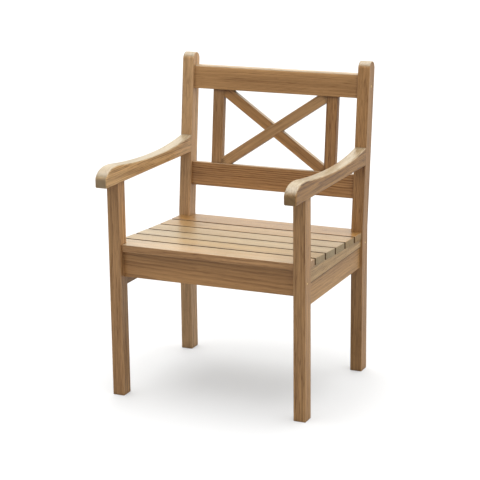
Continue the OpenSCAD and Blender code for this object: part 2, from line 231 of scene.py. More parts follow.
class Wiring:
    """Adds and joins the nodes of one tree."""

    SPACING: ClassVar[Point] = (180, -260)
    NODES_IN_ROW: ClassVar[int] = 12
    # A Mix node has one pair of inputs and one output for each type, all under the same names
    NUMBER_PAIR: ClassVar[tuple[int, int]] = (2, 3)
    COLOUR_PAIR: ClassVar[tuple[int, int]] = (6, 7)
    COLOUR_OUT: ClassVar[int] = 2

    def __init__(self, tree: bpy.types.NodeTree) -> None:
        """Takes the tree that is being wired."""
        self.tree = tree

    def add(self, kind: str, inputs: Optional[Inputs] = None, **settings: Value) -> Wire:
        """Adds a node.

        Args:
            kind: The node's type.
            inputs: A value or a wire for each input that is set, by name or by number.
            **settings: The node's own properties.

        Returns:
            The node's first output.
        """
        row, column = divmod(len(self.tree.nodes), self.NODES_IN_ROW)
        node = self.tree.nodes.new(kind)
        node.location = (self.SPACING[0] * column, self.SPACING[1] * row)
        for name, value in settings.items():
            setattr(node, name, value)
        for key, value in (inputs or {}).items():
            self.feed(node.inputs[key], value)
        return Wire(self, node)

    def feed(self, socket: bpy.types.NodeSocket, value: Value) -> None:
        """Links an input, or sets its own value.

        Args:
            socket: The input.
            value: A wire or a plain value.
        """
        if isinstance(value, Wire):
            self.tree.links.new(value.socket, socket)
        else:
            socket.default_value = value

    def group(self, name: str, inputs: Inputs) -> Wire:
        """Adds a shader group by its name."""
        return self.add("ShaderNodeGroup", inputs, node_tree=bpy.data.node_groups[name])

    def join(self, x: Value = 0.0, y: Value = 0.0, z: Value = 0.0) -> Wire:
        """Joins three numbers to a vector."""
        return self.add("ShaderNodeCombineXYZ", {0: x, 1: y, 2: z})

    def between(self, factor: Value, first: Value, second: Value) -> Wire:
        """Mixes two numbers."""
        inputs = {0: factor, **dict(zip(self.NUMBER_PAIR, (first, second)))}
        return self.add("ShaderNodeMix", inputs, data_type="FLOAT")

    def blend(self, factor: Value, first: Value, second: Value) -> Wire:
        """Mixes two colours."""
        inputs = {0: factor, **dict(zip(self.COLOUR_PAIR, (first, second)))}
        return self.add("ShaderNodeMix", inputs, data_type="RGBA")[self.COLOUR_OUT]

    def surface(self, inputs: Inputs) -> None:
        """Ends a material in a Principled shader."""
        shader = self.add("ShaderNodeBsdfPrincipled", inputs)
        self.add("ShaderNodeOutputMaterial", {"Surface": shader})

    def solid(self, given: Wire, geometry: Wire) -> bpy.types.NodeTree:
        """Ends a Geometry Nodes tree in smooth, real geometry of the given material.

        Args:
            given: The tree's inputs.
            geometry: What it has made.

        Returns:
            The tree.
        """
        smooth = self.add("GeometryNodeSetShadeSmooth", {"Geometry": geometry})
        whole = self.add("GeometryNodeRealizeInstances", {"Geometry": smooth})
        last = self.add("GeometryNodeSetMaterial", {"Geometry": whole, "Material": given["Material"]})
        self.add("NodeGroupOutput", {"Geometry": last})
        return self.tree


def start_group(kind: str, name: str, inputs: Sockets, outputs: Sockets) -> tuple[Wiring, Wire]:
    """Starts a node group with named sockets.

    Args:
        kind: GeometryNodeTree or ShaderNodeTree.
        name: The group's name.
        inputs: Names of its inputs under each socket type, which is spelt without its prefix.
        outputs: The same for its outputs.

    Returns:
        The wiring, and the node that hands out the inputs by name.
    """
    tree = bpy.data.node_groups.new(name, kind)
    for way, sockets in (("INPUT", inputs), ("OUTPUT", outputs)):
        for socket_type, labels in sockets.items():
            for label in labels:
                tree.interface.new_socket(label, in_out=way, socket_type="NodeSocket" + socket_type)
    wiring = Wiring(tree)
    return wiring, wiring.add("NodeGroupInput")


def start_solid(name: str, sizes: Sequence[str], counts: Sequence[str] = ()) -> tuple[Wiring, Wire]:
    """Starts a Geometry Nodes tree.

    Args:
        name: The tree's name.
        sizes: Names of its inputs that are sizes or places.
        counts: Names of its inputs that are whole numbers.

    Returns:
        The wiring, and the node that hands out the inputs by name.
    """
    inputs = {"Geometry": ["Geometry"], "Float": sizes, "Int": counts, "Material": ["Material"]}
    return start_group("GeometryNodeTree", name, inputs, {"Geometry": ["Geometry"]})


def blank_nodes(owner: Union[bpy.types.Material, bpy.types.World]) -> Wiring:
    """Turns on the nodes of a material or a world and clears them.

    Args:
        owner: The material or the world.

    Returns:
        The wiring of its empty tree.
    """
    owner.use_nodes = True
    owner.node_tree.nodes.clear()
    return Wiring(owner.node_tree)


# Wood

# How far apart the seeds set two boards in the noise, along each axis
SEED_STRIDE = (3.1, 1.7, 2.3)
# Tone and roughness of wood between its rings, streaks and pores
PLAIN_TONE = 0.24
PLAIN_ROUGHNESS = 0.31
# Keeps what lies across the grain
ACROSS_GRAIN = (0.0, 1.0, 1.0)
# How dark the painted shadow gets along a seam under an overhang, and then the painted shade in any crevice
SEAM_SHADOW = 0.8
CREVICE_SHADE = 0.75


def timber_figure_group() -> None:
    """Builds the figure of a sawn board: growth rings round a distant pith, bands, fibres and pores.

    The group reads the board's own coordinates, with X along the grain.
    """
    w, given = start_group(
        "ShaderNodeTree", "timber_figure",
        {
            "Vector": ["Position", "Pith"], "Color": ["Light", "Dark", "End"],
            "Float": ["End Grain", "Seed", "Taper", "Wander", "Ring Gap", "Ring Depth", "Bands", "Streaks"],
        },
        {"Color": ["Color"], "Float": ["Roughness", "Height", "Tone"]},
    )
    shift = w.add("ShaderNodeVectorMath", {0: SEED_STRIDE, "Scale": given["Seed"]}, operation="SCALE")
    place = given["Position"] + shift
    sway = place.swing((1.7, 9.0, 9.0), 1.0)
    ripple = place.swing((11.0, 40.0, 40.0), 3.0)
    wander = (ripple * 0.45 + sway) * given["Wander"]
    from_pith = (given["Position"] - given["Pith"]) * ACROSS_GRAIN
    along = given["Position"].split()[0]
    radius = along * given["Taper"] + from_pith.math("LENGTH")["Value"] + wander
    phase = radius / given["Ring Gap"]
    year = phase.math("FLOOR") + given["Seed"]
    vigour = w.add("ShaderNodeTexWhiteNoise", {"W": year}, noise_dimensions="1D")
    ring = phase.math("FRACT")
    late = ring.ramp(0.25, 0.94) * ring.ramp(1.0, 0.95) * (vigour * 0.7 + 0.3)
    bands = place.swing((1.1, 26.0, 26.0))
    streaks = place.swing((4.5, 160.0, 160.0), 5.0, 0.72)
    dashes = place.noise((24.0, 420.0, 420.0), 1.0).ramp(0.58, 0.72)
    pores = place.noise((48.0, 1300.0, 1300.0), 1.0).ramp(0.6, 0.72)
    fine = dashes * 0.2 + streaks
    tone = late * given["Ring Depth"] + PLAIN_TONE + bands * given["Bands"] + fine * given["Streaks"]
    tone = (tone + pores * 0.15).clamped()
    side = w.blend(tone, given["Light"], given["Dark"])
    end = w.blend((late * 0.9).clamped(), given["End"], given["Dark"])
    cut = given["End Grain"].ramp(0.78, 0.99)
    w.add("NodeGroupOutput", {
        "Color": w.blend(cut, side, end),
        "Roughness": streaks * 0.1 + PLAIN_ROUGHNESS + pores * 0.1 + cut * 0.2,
        "Height": streaks * 0.5 + late * 0.3 - dashes * 0.4 - pores * 0.8,
        "Tone": tone,
    })


def sun_fade_group() -> None:
    """Builds the paler, greyer and quieter tone that all woods end at where they look up: a painted sheen
    of the bright studio, with some sun fading.
    """
    w, given = start_group(
        "ShaderNodeTree", "sun_fade",
        {"Vector": ["Position", "Normal"], "Color": ["Color", "Light", "Dark"], "Float": ["Tone", "Fade"]},
        {"Color": ["Color"]},
    )
    # Faces that look up take the painted sheen of the bright studio, with some sun fading
    up = given["Normal"].split()[2].ramp(0.25, 0.7)
    patches = given["Position"].noise((6.0, 50.0, 50.0), 3.0).ramp(0.3, 0.7, 0.85, 1.15)
    mask = (up * patches * given["Fade"]).clamped()
    faded_and_sheened = w.blend(given["Tone"], given["Light"], given["Dark"])
    w.add("NodeGroupOutput", {"Color": w.blend(mask, given["Color"], faded_and_sheened)})


def arris_wear_group() -> None:
    """Builds the wear of rounded arrises: paler and smoother wood in uneven patches."""
    w, given = start_group(
        "ShaderNodeTree", "arris_wear",
        {"Vector": ["Position"], "Color": ["Color", "Worn"], "Float": ["Arris", "Roughness", "Wear"]},
        {"Color": ["Color"], "Float": ["Roughness"]},
    )
    patches = given["Position"].noise((14.0, 60.0, 60.0), 3.0, 0.6).ramp(0.35, 0.65, 0.45, 1.0)
    mask = (given["Arris"] * patches * given["Wear"]).clamped()
    w.add("NodeGroupOutput", {
        "Color": w.blend(mask, given["Color"], given["Worn"]),
        "Roughness": given["Roughness"] - mask * 0.1,
    })


def joint_grime_group() -> None:
    """Builds painted shade, with some grime, in the corners of joints and in the gaps between slats, and a
    painted shadow along a seam under an overhanging board.
    """
    w, given = start_group(
        "ShaderNodeTree", "joint_grime",
        {
            "Vector": ["Position"], "Color": ["Color", "Grime"],
            "Float": ["Roughness", "Start", "End", "Depth", "Seam", "Seam Core", "Seam Reach", "Crevice"],
        },
        {"Color": ["Color"], "Float": ["Roughness"]},
    )
    along, across, _ = given["Position"].split()
    # Painted shade, with some grime, darkens towards each joint
    from_start = (along - given["Start"]) / given["Depth"]
    from_end = (given["End"] - along) / given["Depth"]
    near = from_start.math("MINIMUM", from_end).ramp(1.0, 0.0, smooth=False)
    patches = given["Position"].noise((60.0, 60.0, 60.0), 3.0).ramp(0.3, 0.7, 0.2, 0.5)
    corner = near * near * patches
    # Painted shadow along the seam under the overhanging board
    from_seam = (across - given["Seam"]).math("ABSOLUTE")
    seam = from_seam.ramp(given["Seam Core"], given["Seam Reach"], SEAM_SHADOW, 0.0)
    # Painted shade in the narrow gaps that the crevice mask marks
    crevice = given["Crevice"].math("MAXIMUM", seam) * CREVICE_SHADE
    mask = corner.math("MAXIMUM", crevice)
    w.add("NodeGroupOutput", {
        "Color": w.blend(mask, given["Color"], given["Grime"]),
        "Roughness": given["Roughness"] + mask * 0.3,
    })


@dataclass(frozen=True)
class Lie:
    """Where a board lies.

    Attributes:
        centre: Its middle.
        grain: The direction of its grain.
        width: The direction of its width.
        start: Where it comes out of its first joint, along the grain from its middle.
        end: Where it goes into its last joint.
        seam: Where another board lies along it, across the grain from its middle.
    """

    centre: Sequence[float]
    grain: Sequence[float]
    width: Sequence[float]
    start: float = -FAR
    end: float = FAR
    seam: float = FAR

    @property
    def turn(self) -> Euler:
        """The turn that carries X onto the grain and Y onto the width.

        Returns:
            The turn as Euler angles.
        """
        grain = Vector(self.grain).normalized()
        across = Vector(self.width).normalized()
        return Matrix((grain, across, grain.cross(across))).transposed().to_euler("XYZ")


@dataclass(frozen=True)
class Timber:
    """The finish of one oiled teak board. Colours are linear.

    Attributes:
        shade: Brightness against the palette.
        warmth: Positive for redder, negative for creamier.
        gold: Positive for yellower.
        ring_gap: Distance between growth rings, in metres.
        ring_depth: Contrast of the rings.
        bands: Contrast of the broad bands.
        streaks: Contrast of the fine streaks.
        pith: Heart of the tree across the board, in metres.
        taper: Slope of the rings along the board, which draws the arches.
        wander: How far the rings stray, in metres.
        end_shade: Brightness of the cut ends against the palette.
        fade: How far what looks up takes the paler tone of a painted sheen, with some sun fading.
        wear: How pale the arrises are worn.
        seed: Sets this board apart from the others.
    """

    shade: float = 1.0
    warmth: float = 0.0
    gold: float = 0.0
    ring_gap: float = 3.8 * MM
    ring_depth: float = 0.5
    bands: float = 0.7
    streaks: float = 1.8
    pith: Point = (0.10, 0.06)
    taper: float = 0.005
    wander: float = 0.012
    end_shade: float = 1.0
    fade: float = 0.65
    wear: float = 0.4
    seed: float = 0.0

    LIGHT: ClassVar[Triple] = (0.490, 0.275, 0.108)
    DARK: ClassVar[Triple] = (0.135, 0.055, 0.013)
    END: ClassVar[Triple] = (0.300, 0.193, 0.094)
    WORN: ClassVar[Triple] = (0.470, 0.320, 0.165)
    # Paler, greyer tone that faces looking up end at: a painted sheen of the bright studio, with some sun
    # fading
    FADED: ClassVar[Colour] = (0.370, 0.290, 0.185, 1.0)
    FADED_DARK: ClassVar[Colour] = (0.225, 0.160, 0.085, 1.0)
    # Colour of the painted shade, with some grime, at joints and in gaps, and of the painted shadow along a
    # seam
    GRIME: ClassVar[Colour] = (0.040, 0.015, 0.003, 1.0)
    # What a warmth or a gold of 1 adds to a colour, as a share of each part
    WARMER: ClassVar[Triple] = (0.2, -0.05, -0.55)
    YELLOWER: ClassVar[Triple] = (-0.1, 0.15, 0.0)
    # Reach of the painted shade from a joint, and the core and reach of the painted shadow along a seam
    GRIME_DEPTH: ClassVar[float] = 11 * MM
    SEAM_CORE: ClassVar[float] = 0.6 * MM
    SEAM_REACH: ClassVar[float] = 2 * MM
    BUMP: ClassVar[float] = 0.12 * MM
    IOR: ClassVar[float] = 1.5

    def tinted(self, colour: Triple, shade: float = 1.0) -> Colour:
        """Shades and warms one colour of the palette.

        Args:
            colour: The palette's colour.
            shade: Its brightness beside the board's own.

        Returns:
            The board's colour with an alpha of 1.
        """
        tints = (
            1 + self.warmth * warmer + self.gold * yellower
            for warmer, yellower in zip(self.WARMER, self.YELLOWER)
        )
        return (*(self.shade * shade * part * tint for part, tint in zip(colour, tints)), 1.0)

    def figure(self, w: Wiring, place: Wire, facing: Wire) -> Wire:
        """Adds the board's figure.

        Args:
            w: The material's wiring.
            place: The board's own coordinates.
            facing: How squarely the surface looks along the grain, from 0 to 1.

        Returns:
            The group's node.
        """
        return w.group("timber_figure", {
            "Position": place, "End Grain": facing, "Seed": self.seed, "Pith": (0.0, *self.pith),
            "Light": self.tinted(self.LIGHT), "Dark": self.tinted(self.DARK),
            "End": self.tinted(self.END, self.end_shade), "Taper": self.taper, "Wander": self.wander,
            "Ring Gap": self.ring_gap, "Ring Depth": self.ring_depth, "Bands": self.bands,
            "Streaks": self.streaks,
        })

    def aged(self, w: Wiring, place: Wire, normal: Wire, figure: Wire, lie: Lie) -> Wire:
        """Fades the figure with a painted sheen where it looks up, wears it, and paints shade with some
        grime at joints and in gaps and a shadow along a seam.

        Args:
            w: The material's wiring.
            place: The board's own coordinates.
            normal: The surface's normal in the chair.
            figure: The figure's node.
            lie: Where the board lies.

        Returns:
            The last group's node, with the final colour and roughness.
        """
        arris, crevice = (
            w.add("ShaderNodeAttribute", attribute_name=name)["Fac"] for name in (ARRIS, CREVICE)
        )
        # Faces that look up take a painted sheen, with some sun fading
        sheened = w.group("sun_fade", {
            "Position": place, "Normal": normal, "Tone": figure["Tone"], "Color": figure["Color"],
            "Light": self.FADED, "Dark": self.FADED_DARK, "Fade": self.fade,
        })
        wear = w.group("arris_wear", {
            "Position": place, "Arris": arris, "Color": sheened, "Roughness": figure["Roughness"],
            "Worn": self.tinted(self.WORN), "Wear": self.wear,
        })
        # Painted shade with some grime at joints and in gaps, and a painted shadow along a seam
        return w.group("joint_grime", {
            "Position": place, "Color": wear["Color"], "Roughness": wear["Roughness"], "Grime": self.GRIME,
            "Start": lie.start, "End": lie.end, "Depth": self.GRIME_DEPTH, "Seam": lie.seam,
            "Seam Core": self.SEAM_CORE, "Seam Reach": self.SEAM_REACH, "Crevice": crevice,
        })

    def material(self, name: str, lie: Lie) -> bpy.types.Material:
        """Builds the board's material.

        Args:
            name: The material's name.
            lie: Where the board lies.

        Returns:
            The material.
        """
        material = bpy.data.materials.new(name)
        w = blank_nodes(material)
        coordinates = w.add("ShaderNodeTexCoord")
        normal = coordinates["Normal"]
        mapping = {"Vector": coordinates["Object"], "Location": lie.centre, "Rotation": lie.turn}
        place = w.add("ShaderNodeMapping", mapping, vector_type="TEXTURE")
        facing = normal.math("DOT_PRODUCT", Vector(lie.grain).normalized())["Value"].math("ABSOLUTE")
        figure = self.figure(w, place, facing)
        aged = self.aged(w, place, normal, figure, lie)
        bump = w.add("ShaderNodeBump", {"Distance": self.BUMP, "Height": figure["Height"]})
        w.surface({
            "Base Color": aged["Color"], "Roughness": aged["Roughness"], "Normal": bump, "IOR": self.IOR,
        })
        return material


LOOKS: Mapping[str, Timber] = {
    "front_leg_left": Timber(
        shade=1.17, warmth=-0.15, gold=-0.15, seed=1.3, pith=(0.12, 0.03), streaks=2.0,
    ),
    "front_leg_right": Timber(
        shade=1.14, warmth=-0.1, gold=-0.1, seed=2.6, pith=(0.10, -0.05), streaks=2.0,
    ),
    "rear_leg_left": Timber(
        shade=1.6, warmth=-0.5, gold=-0.1, seed=3.1, pith=(0.12, 0.02), taper=0.002, streaks=1.3,
        end_shade=1.5, fade=1.0, wear=0.2,
    ),
    "rear_leg_right": Timber(
        gold=-0.12, seed=4.7, pith=(-0.11, 0.05), taper=0.002, end_shade=1.8, fade=1.0, wear=0.25,
    ),
    "armrest_left": Timber(
        shade=1.66, warmth=-0.4, gold=0.1, seed=5.2, pith=(0.06, -0.07), streaks=2.0, end_shade=0.74,
        fade=1.2, wear=0.1,
    ),
    "armrest_right": Timber(
        shade=0.88, warmth=0.35, gold=0.1, seed=6.9, pith=(0.05, -0.06), ring_depth=0.8, streaks=2.8,
        end_shade=0.86, fade=0.95, wear=0.15,
    ),
    "front_apron": Timber(
        shade=1.13, warmth=0.07, gold=-0.15, seed=7.4, pith=(-0.06, 0.07), taper=0.025, ring_gap=8 * MM,
        ring_depth=0.36, streaks=1.1,
    ),
    "rear_apron": Timber(shade=0.92, seed=8.2, pith=(0.02, -0.08), taper=0.015),
    "side_rail_left": Timber(warmth=0.15, seed=8.0, pith=(-0.04, -0.09), taper=0.02),
    "side_rail_right": Timber(
        shade=1.21, warmth=0.03, gold=0.09, seed=10.0, pith=(-0.05, 0.09), taper=0.012, ring_gap=5 * MM,
        ring_depth=0.35, streaks=1.4,
    ),
    "seat_bearer_left": Timber(shade=1.08, warmth=-0.25, seed=10.4, pith=(0.12, -0.02)),
    "seat_bearer_right": Timber(shade=1.45, warmth=-0.4, gold=0.22, seed=12.0, pith=(0.12, 0.02)),
    "seat_slat_1": Timber(
        shade=1.2, warmth=-0.15, gold=-0.2, seed=13.9, pith=(0.11, 0.05), ring_depth=0.3, end_shade=1.3,
        fade=0.75,
    ),
    "seat_slat_2": Timber(
        shade=0.98, warmth=-0.3, gold=0.25, seed=15.8, pith=(-0.12, 0.04), ring_depth=0.3, end_shade=1.4,
        fade=0.38,
    ),
    "seat_slat_3": Timber(
        shade=1.02, warmth=-0.4, gold=0.27, seed=17.7, pith=(0.12, 0.06), ring_depth=0.3, end_shade=1.35,
        fade=0.6,
    ),
    "seat_slat_4": Timber(
        warmth=-0.3, gold=0.27, seed=19.6, pith=(-0.10, 0.06), ring_depth=0.3, end_shade=1.35, fade=0.4,
    ),
    "seat_slat_5": Timber(
        shade=0.89, gold=0.25, seed=21.5, pith=(0.11, 0.04), ring_depth=0.3, end_shade=1.4, fade=0.1,
    ),
    "seat_slat_6": Timber(
        shade=0.66, warmth=0.4, gold=0.12, seed=23.4, pith=(-0.11, 0.05), ring_depth=0.35, end_shade=1.8,
        fade=0.0,
    ),
    "lower_back_rail": Timber(
        shade=1.04, warmth=0.02, gold=-0.15, seed=25.5, pith=(-0.05, 0.06), taper=0.012, ring_gap=5 * MM,
        ring_depth=0.6, streaks=1.5, wander=0.016,
    ),
    "crest_rail": Timber(
        shade=1.28, warmth=-0.1, gold=-0.07, seed=27.1, pith=(0.11, 0.06), ring_gap=3.4 * MM, bands=1.0,
        streaks=1.1, fade=0.8, wear=0.15,
    ),
    "back_stile_left": Timber(
        shade=1.04, warmth=-0.25, gold=-0.15, seed=28.0, pith=(0.09, 0.05), streaks=2.0,
    ),
    "back_stile_right": Timber(
        shade=0.91, warmth=0.07, gold=-0.15, seed=30.0, pith=(-0.09, 0.05), streaks=2.0,
    ),
    "back_brace_rising": Timber(shade=1.19, warmth=-0.3, gold=-0.09, seed=34.0, pith=(0.09, 0.06)),
    "back_brace_falling": Timber(shade=0.93, warmth=0.11, gold=-0.12, seed=32.0, pith=(-0.09, 0.06)),
    "bearer_pins": Timber(
        shade=1.6, gold=0.3, seed=37.0, pith=(0.01, 0.02), ring_gap=2 * MM, end_shade=2.0,
    ),
    "crest_plugs": Timber(
        shade=1.6, gold=0.3, seed=38.0, pith=(0.01, 0.02), ring_gap=2 * MM, end_shade=2.0,
    ),
    "brace_dowels": Timber(shade=1.1, seed=41.0, pith=(0.01, 0.02), ring_gap=2 * MM),
}


def teak(node: str, lie: Lie) -> bpy.types.Material:
    """Builds the wood of a node whose board lies as given."""
    return LOOKS[node].material(node + "_teak", lie)


@dataclass(frozen=True)
class Steel:
    """Brushed stainless steel of the hidden screws.

    Attributes:
        colour: Its colour, linear.
        smudged: Brightness of the smudges beside it.
        smoothest: Roughness of the smoothest brush marks.
        roughest: Roughness of the roughest.
        bump: Height of the brush marks, in metres.
    """

    colour: Triple = (0.60, 0.60, 0.61)
    smudged: float = 0.82
    smoothest: float = 0.25
    roughest: float = 0.45
    bump: float = 0.05 * MM

    def material(self, name: str) -> bpy.types.Material:
        """Builds the material.

        Args:
            name: The material's name.

        Returns:
            The material.
        """
        material = bpy.data.materials.new(name)
        w = blank_nodes(material)
        place = w.add("ShaderNodeTexCoord")["Object"]
        brushing = place.noise((900.0, 900.0, 90.0), 3.0)
        smudges = place.noise((120.0, 120.0, 120.0))
        dull = tuple(self.smudged * part for part in self.colour)
        bump = w.add("ShaderNodeBump", {"Distance": self.bump, "Height": brushing})
        w.surface({
            "Base Color": w.blend(smudges, (*dull, 1.0), (*self.colour, 1.0)),
            "Roughness": brushing.ramp(0.2, 0.8, self.smoothest, self.roughest),
            "Metallic": 1.0, "Normal": bump,
        })
        return material


# Meshes

def linked(name: str, mesh: bpy.types.Mesh) -> bpy.types.Object:
    """Puts a mesh in the scene.

    Args:
        name: The object's name.
        mesh: Its mesh.

    Returns:
        The object.
    """
    thing = bpy.data.objects.new(name, mesh)
    bpy.context.scene.collection.objects.link(thing)
    return thing


def released(made: bmesh.types.BMesh, name: str) -> bpy.types.Object:
    """Turns an editable mesh into an object and frees it.

    Args:
        made: The editable mesh.
        name: The object's name.

    Returns:
        The object.
    """
    mesh = bpy.data.meshes.new(name)
    made.to_mesh(mesh)
    made.free()
    return linked(name, mesh)


def prism(name: str, outline: Sequence[Point], start: float, end: float, along: Along,
          place: Matrix = UNMOVED) -> bpy.types.Object:
    """Extrudes an outline into a closed solid.

    Args:
        name: The object's name.
        outline: Its points in order, in the two axes that it isn't extruded along.
        start: Where the solid starts along the axis.
        end: Where it ends.
        along: The axis.
        place: Carries the solid into the chair.

    Returns:
        The object, at the origin, with its place in its mesh.
    """
    made = bmesh.new()
    low, high = (
        [made.verts.new(place @ Vector(along.point(flat, depth))) for flat in outline]
        for depth in (start, end)
    )
    made.faces.new(low)
    made.faces.new(high)
    for i, vertex in enumerate(low):
        after = (i + 1) % len(low)
        made.faces.new((vertex, low[after], high[after], high[i]))
    bmesh.ops.recalc_face_normals(made, faces=made.faces)
    return released(made, name)


def rectangle(low: Point, high: Point) -> list[Point]:
    """The four corners of a rectangle in order."""
    return [low, (high[0], low[1]), high, (low[0], high[1])]


def arc(centre: Point, radius: float, start: float, end: float, steps: int = ARC_STEPS) -> list[Point]:
    """Points along an arc.

    Args:
        centre: Its centre.
        radius: Its radius.
        start: Angle of its first point, in degrees.
        end: Angle of its last point.
        steps: Number of chords.

    Returns:
        The points, with both ends.
    """
    angles = [math.radians(start + (end - start) * k / steps) for k in range(steps + 1)]
    return [(centre[0] + radius * math.cos(a), centre[1] + radius * math.sin(a)) for a in angles]


def round_hole(centre: Vector, radius: float, depth: float) -> bpy.types.Object:
    """Makes the cutter for a round hole in a face that looks along X.

    Args:
        centre: The hole's middle, on the face.
        radius: Its radius.
        depth: How deep it goes.

    Returns:
        The cutter, which reaches as far out of the face as into it.
    """
    made = bmesh.new()
    turn = Matrix.Translation(centre) @ Matrix.Rotation(math.pi / 2, 4, "Y")
    bmesh.ops.create_cone(made, cap_ends=True, segments=HOLE_SIDES, radius1=radius, radius2=radius,
                          depth=2 * depth, matrix=turn)
    return released(made, "hole")


def grown(piece: bpy.types.Object, tree: bpy.types.NodeTree, values: Mapping[str, Value]) -> None:
    """Adds a Geometry Nodes modifier with its inputs set by their identifiers.

    Args:
        piece: The object that gets the modifier.
        tree: The tree.
        values: The inputs by name.
    """
    modifier = piece.modifiers.new(tree.name, "NODES")
    modifier.node_group = tree
    for item in tree.interface.items_tree:
        if item.item_type == "SOCKET" and item.in_out == "INPUT" and item.name in values:
            modifier[item.identifier] = values[item.name]


def settled(piece: bpy.types.Object) -> bpy.types.Mesh:
    """Turns what the modifiers show into the piece's plain mesh, and takes them off.

    Args:
        piece: The object.

    Returns:
        Its new mesh.
    """
    bpy.context.view_layer.update()
    shown = piece.evaluated_get(bpy.context.evaluated_depsgraph_get())
    mesh = bpy.data.meshes.new_from_object(shown)
    piece.modifiers.clear()
    piece.data = mesh
    return mesh


def eased(piece: bpy.types.Object, radius: float, cuts: Sequence[bpy.types.Object] = (), steps: int = 3
          ) -> bpy.types.Object:
    """Rounds the arrises of a solid, cuts others out of it, and marks what was rounded.

    Args:
        piece: The object, with or without a Geometry Nodes modifier.
        radius: Radius of the arrises.
        cuts: Objects that are taken away from it and then removed.
        steps: Number of faces round each arris.

    Returns:
        The object with a plain mesh and an attribute that is 1 on the arrises.
    """
    # A solid's own faces use the first slot, or the second one if a tree made them
    marker = 2
    while len(piece.data.materials) <= marker:
        piece.data.materials.append(None)
    for face in piece.data.polygons:
        face.use_smooth = True
    bevel = piece.modifiers.new("arrises", "BEVEL")
    bevel.width = radius
    bevel.segments = steps
    bevel.limit_method = "ANGLE"
    bevel.angle_limit = SHARP_ANGLE
    bevel.use_clamp_overlap = False
    bevel.loop_slide = False
    bevel.material = marker
    for cut in cuts:
        modifier = piece.modifiers.new("cut", "BOOLEAN")
        modifier.operation = "DIFFERENCE"
        modifier.solver = "EXACT"
        modifier.object = cut
    normals = piece.modifiers.new("normals", "WEIGHTED_NORMAL")
    normals.keep_sharp = True
    mesh = settled(piece)
    for cut in cuts:
        bpy.data.objects.remove(cut)
    flat = set()
    for face in mesh.polygons:
        if face.material_index != marker:
            flat.update(face.vertices)
        face.material_index = 0
    mask = mesh.attributes.new(ARRIS, "FLOAT", "POINT")
    mask.data.foreach_set("value", [0.0 if i in flat else 1.0 for i in range(len(mesh.vertices))])
    return piece


def shadowed(piece: bpy.types.Object, hidden: Callable[[Vector], bool]) -> None:
    """Sets the crevice mask, where shade is painted, on the points of a piece that lie in a narrow gap.

    Args:
        piece: The object, with a plain mesh.
        hidden: Tells whether a point lies there.
    """
    mask = piece.data.attributes.new(CREVICE, "FLOAT", "POINT")
    mask.data.foreach_set("value", [float(hidden(point.co)) for point in piece.data.vertices])


def dressed(piece: bpy.types.Object, node: str, wood: bpy.types.Material) -> None:
    """Gives a finished piece its wood and puts it in its node's place.

    Args:
        piece: The object, with a plain mesh.
        node: The node that it stands for.
        wood: The material.
    """
    piece.data.materials.clear()
    piece.data.materials.append(wood)
    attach(piece, BODY)
    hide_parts(node)
    log.info("%s: %d faces", piece.name, len(piece.data.polygons))


@dataclass(frozen=True)
class Measures:
    """Sizes that more than one sub-assembly shares, read from the frame.

    Attributes:
        outer_x: Outer faces of the legs.
        inner_x: Inner faces of the legs.
        front_y: Front faces of the front legs.
        leg_back_y: Rear faces of the front legs.
        rear_y: Front faces of the rear legs.
        arm_z: Underside of the arms.
        rear_leg_d: Depth of the rear legs.
        knee_z: Height of the bend of the rear legs.
        rake: Lean of the posts.
        tuck: How far a member's end runs on into the one that it meets.
    """

    outer_x: float
    inner_x: float
    front_y: float
    leg_back_y: float
    rear_y: float
    arm_z: float
    rear_leg_d: float = 42 * MM
    knee_z: float = 430 * MM
    rake: float = math.radians(6)
    tuck: float = 4 * MM

    @classmethod
    def from_frame(cls) -> "Measures":
        """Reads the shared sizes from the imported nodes.

        Returns:
            The sizes.
        """
        front_low, front_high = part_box("front_leg_right")
        rear_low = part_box("rear_leg_right")[0]
        arm_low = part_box("armrest_right")[0]
        return cls(front_high.x, front_low.x, front_low.y, front_high.y, rear_low.y, arm_low.z)

    @property
    def raked(self) -> Matrix:
        """Carries the plane of the posts, with Y off its front and Z up it, into the chair."""
        return Matrix.Translation((0.0, self.rear_y, self.knee_z)) @ Matrix.Rotation(-self.rake, 4, "X")

    def post_y(self, z: float) -> float:
        """Front face of a post at height z."""
        return self.rear_y + max(0.0, z - self.knee_z) * math.tan(self.rake)


@dataclass(frozen=True)
class PegSpots:
    """Where the round ends of the pins and plugs show, each as Y and Z, the same on both sides.

    Attributes:
        front_pin: Middle of the pin in a front leg.
        rear_pin: Middle of the pin in a rear leg.
        plug: Middle of the plug near the top of a post.
        pin_radius: Radius of the pins.
    """

    front_pin: Point
    rear_pin: Point
    plug: Point
    pin_radius: float

    @classmethod
    def from_frame(cls) -> "PegSpots":
        """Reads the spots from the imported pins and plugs.

        Returns:
            The spots.
        """
        low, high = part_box("bearer_pins")
        radius = (high.z - low.z) / 2
        height = (low.z + high.z) / 2
        plug_low, plug_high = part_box("crest_plugs")
        plug = (plug_low + plug_high) / 2
        return cls((low.y + radius, height), (high.y - radius, height), (plug.y, plug.z), radius)


# Sub-assemblies

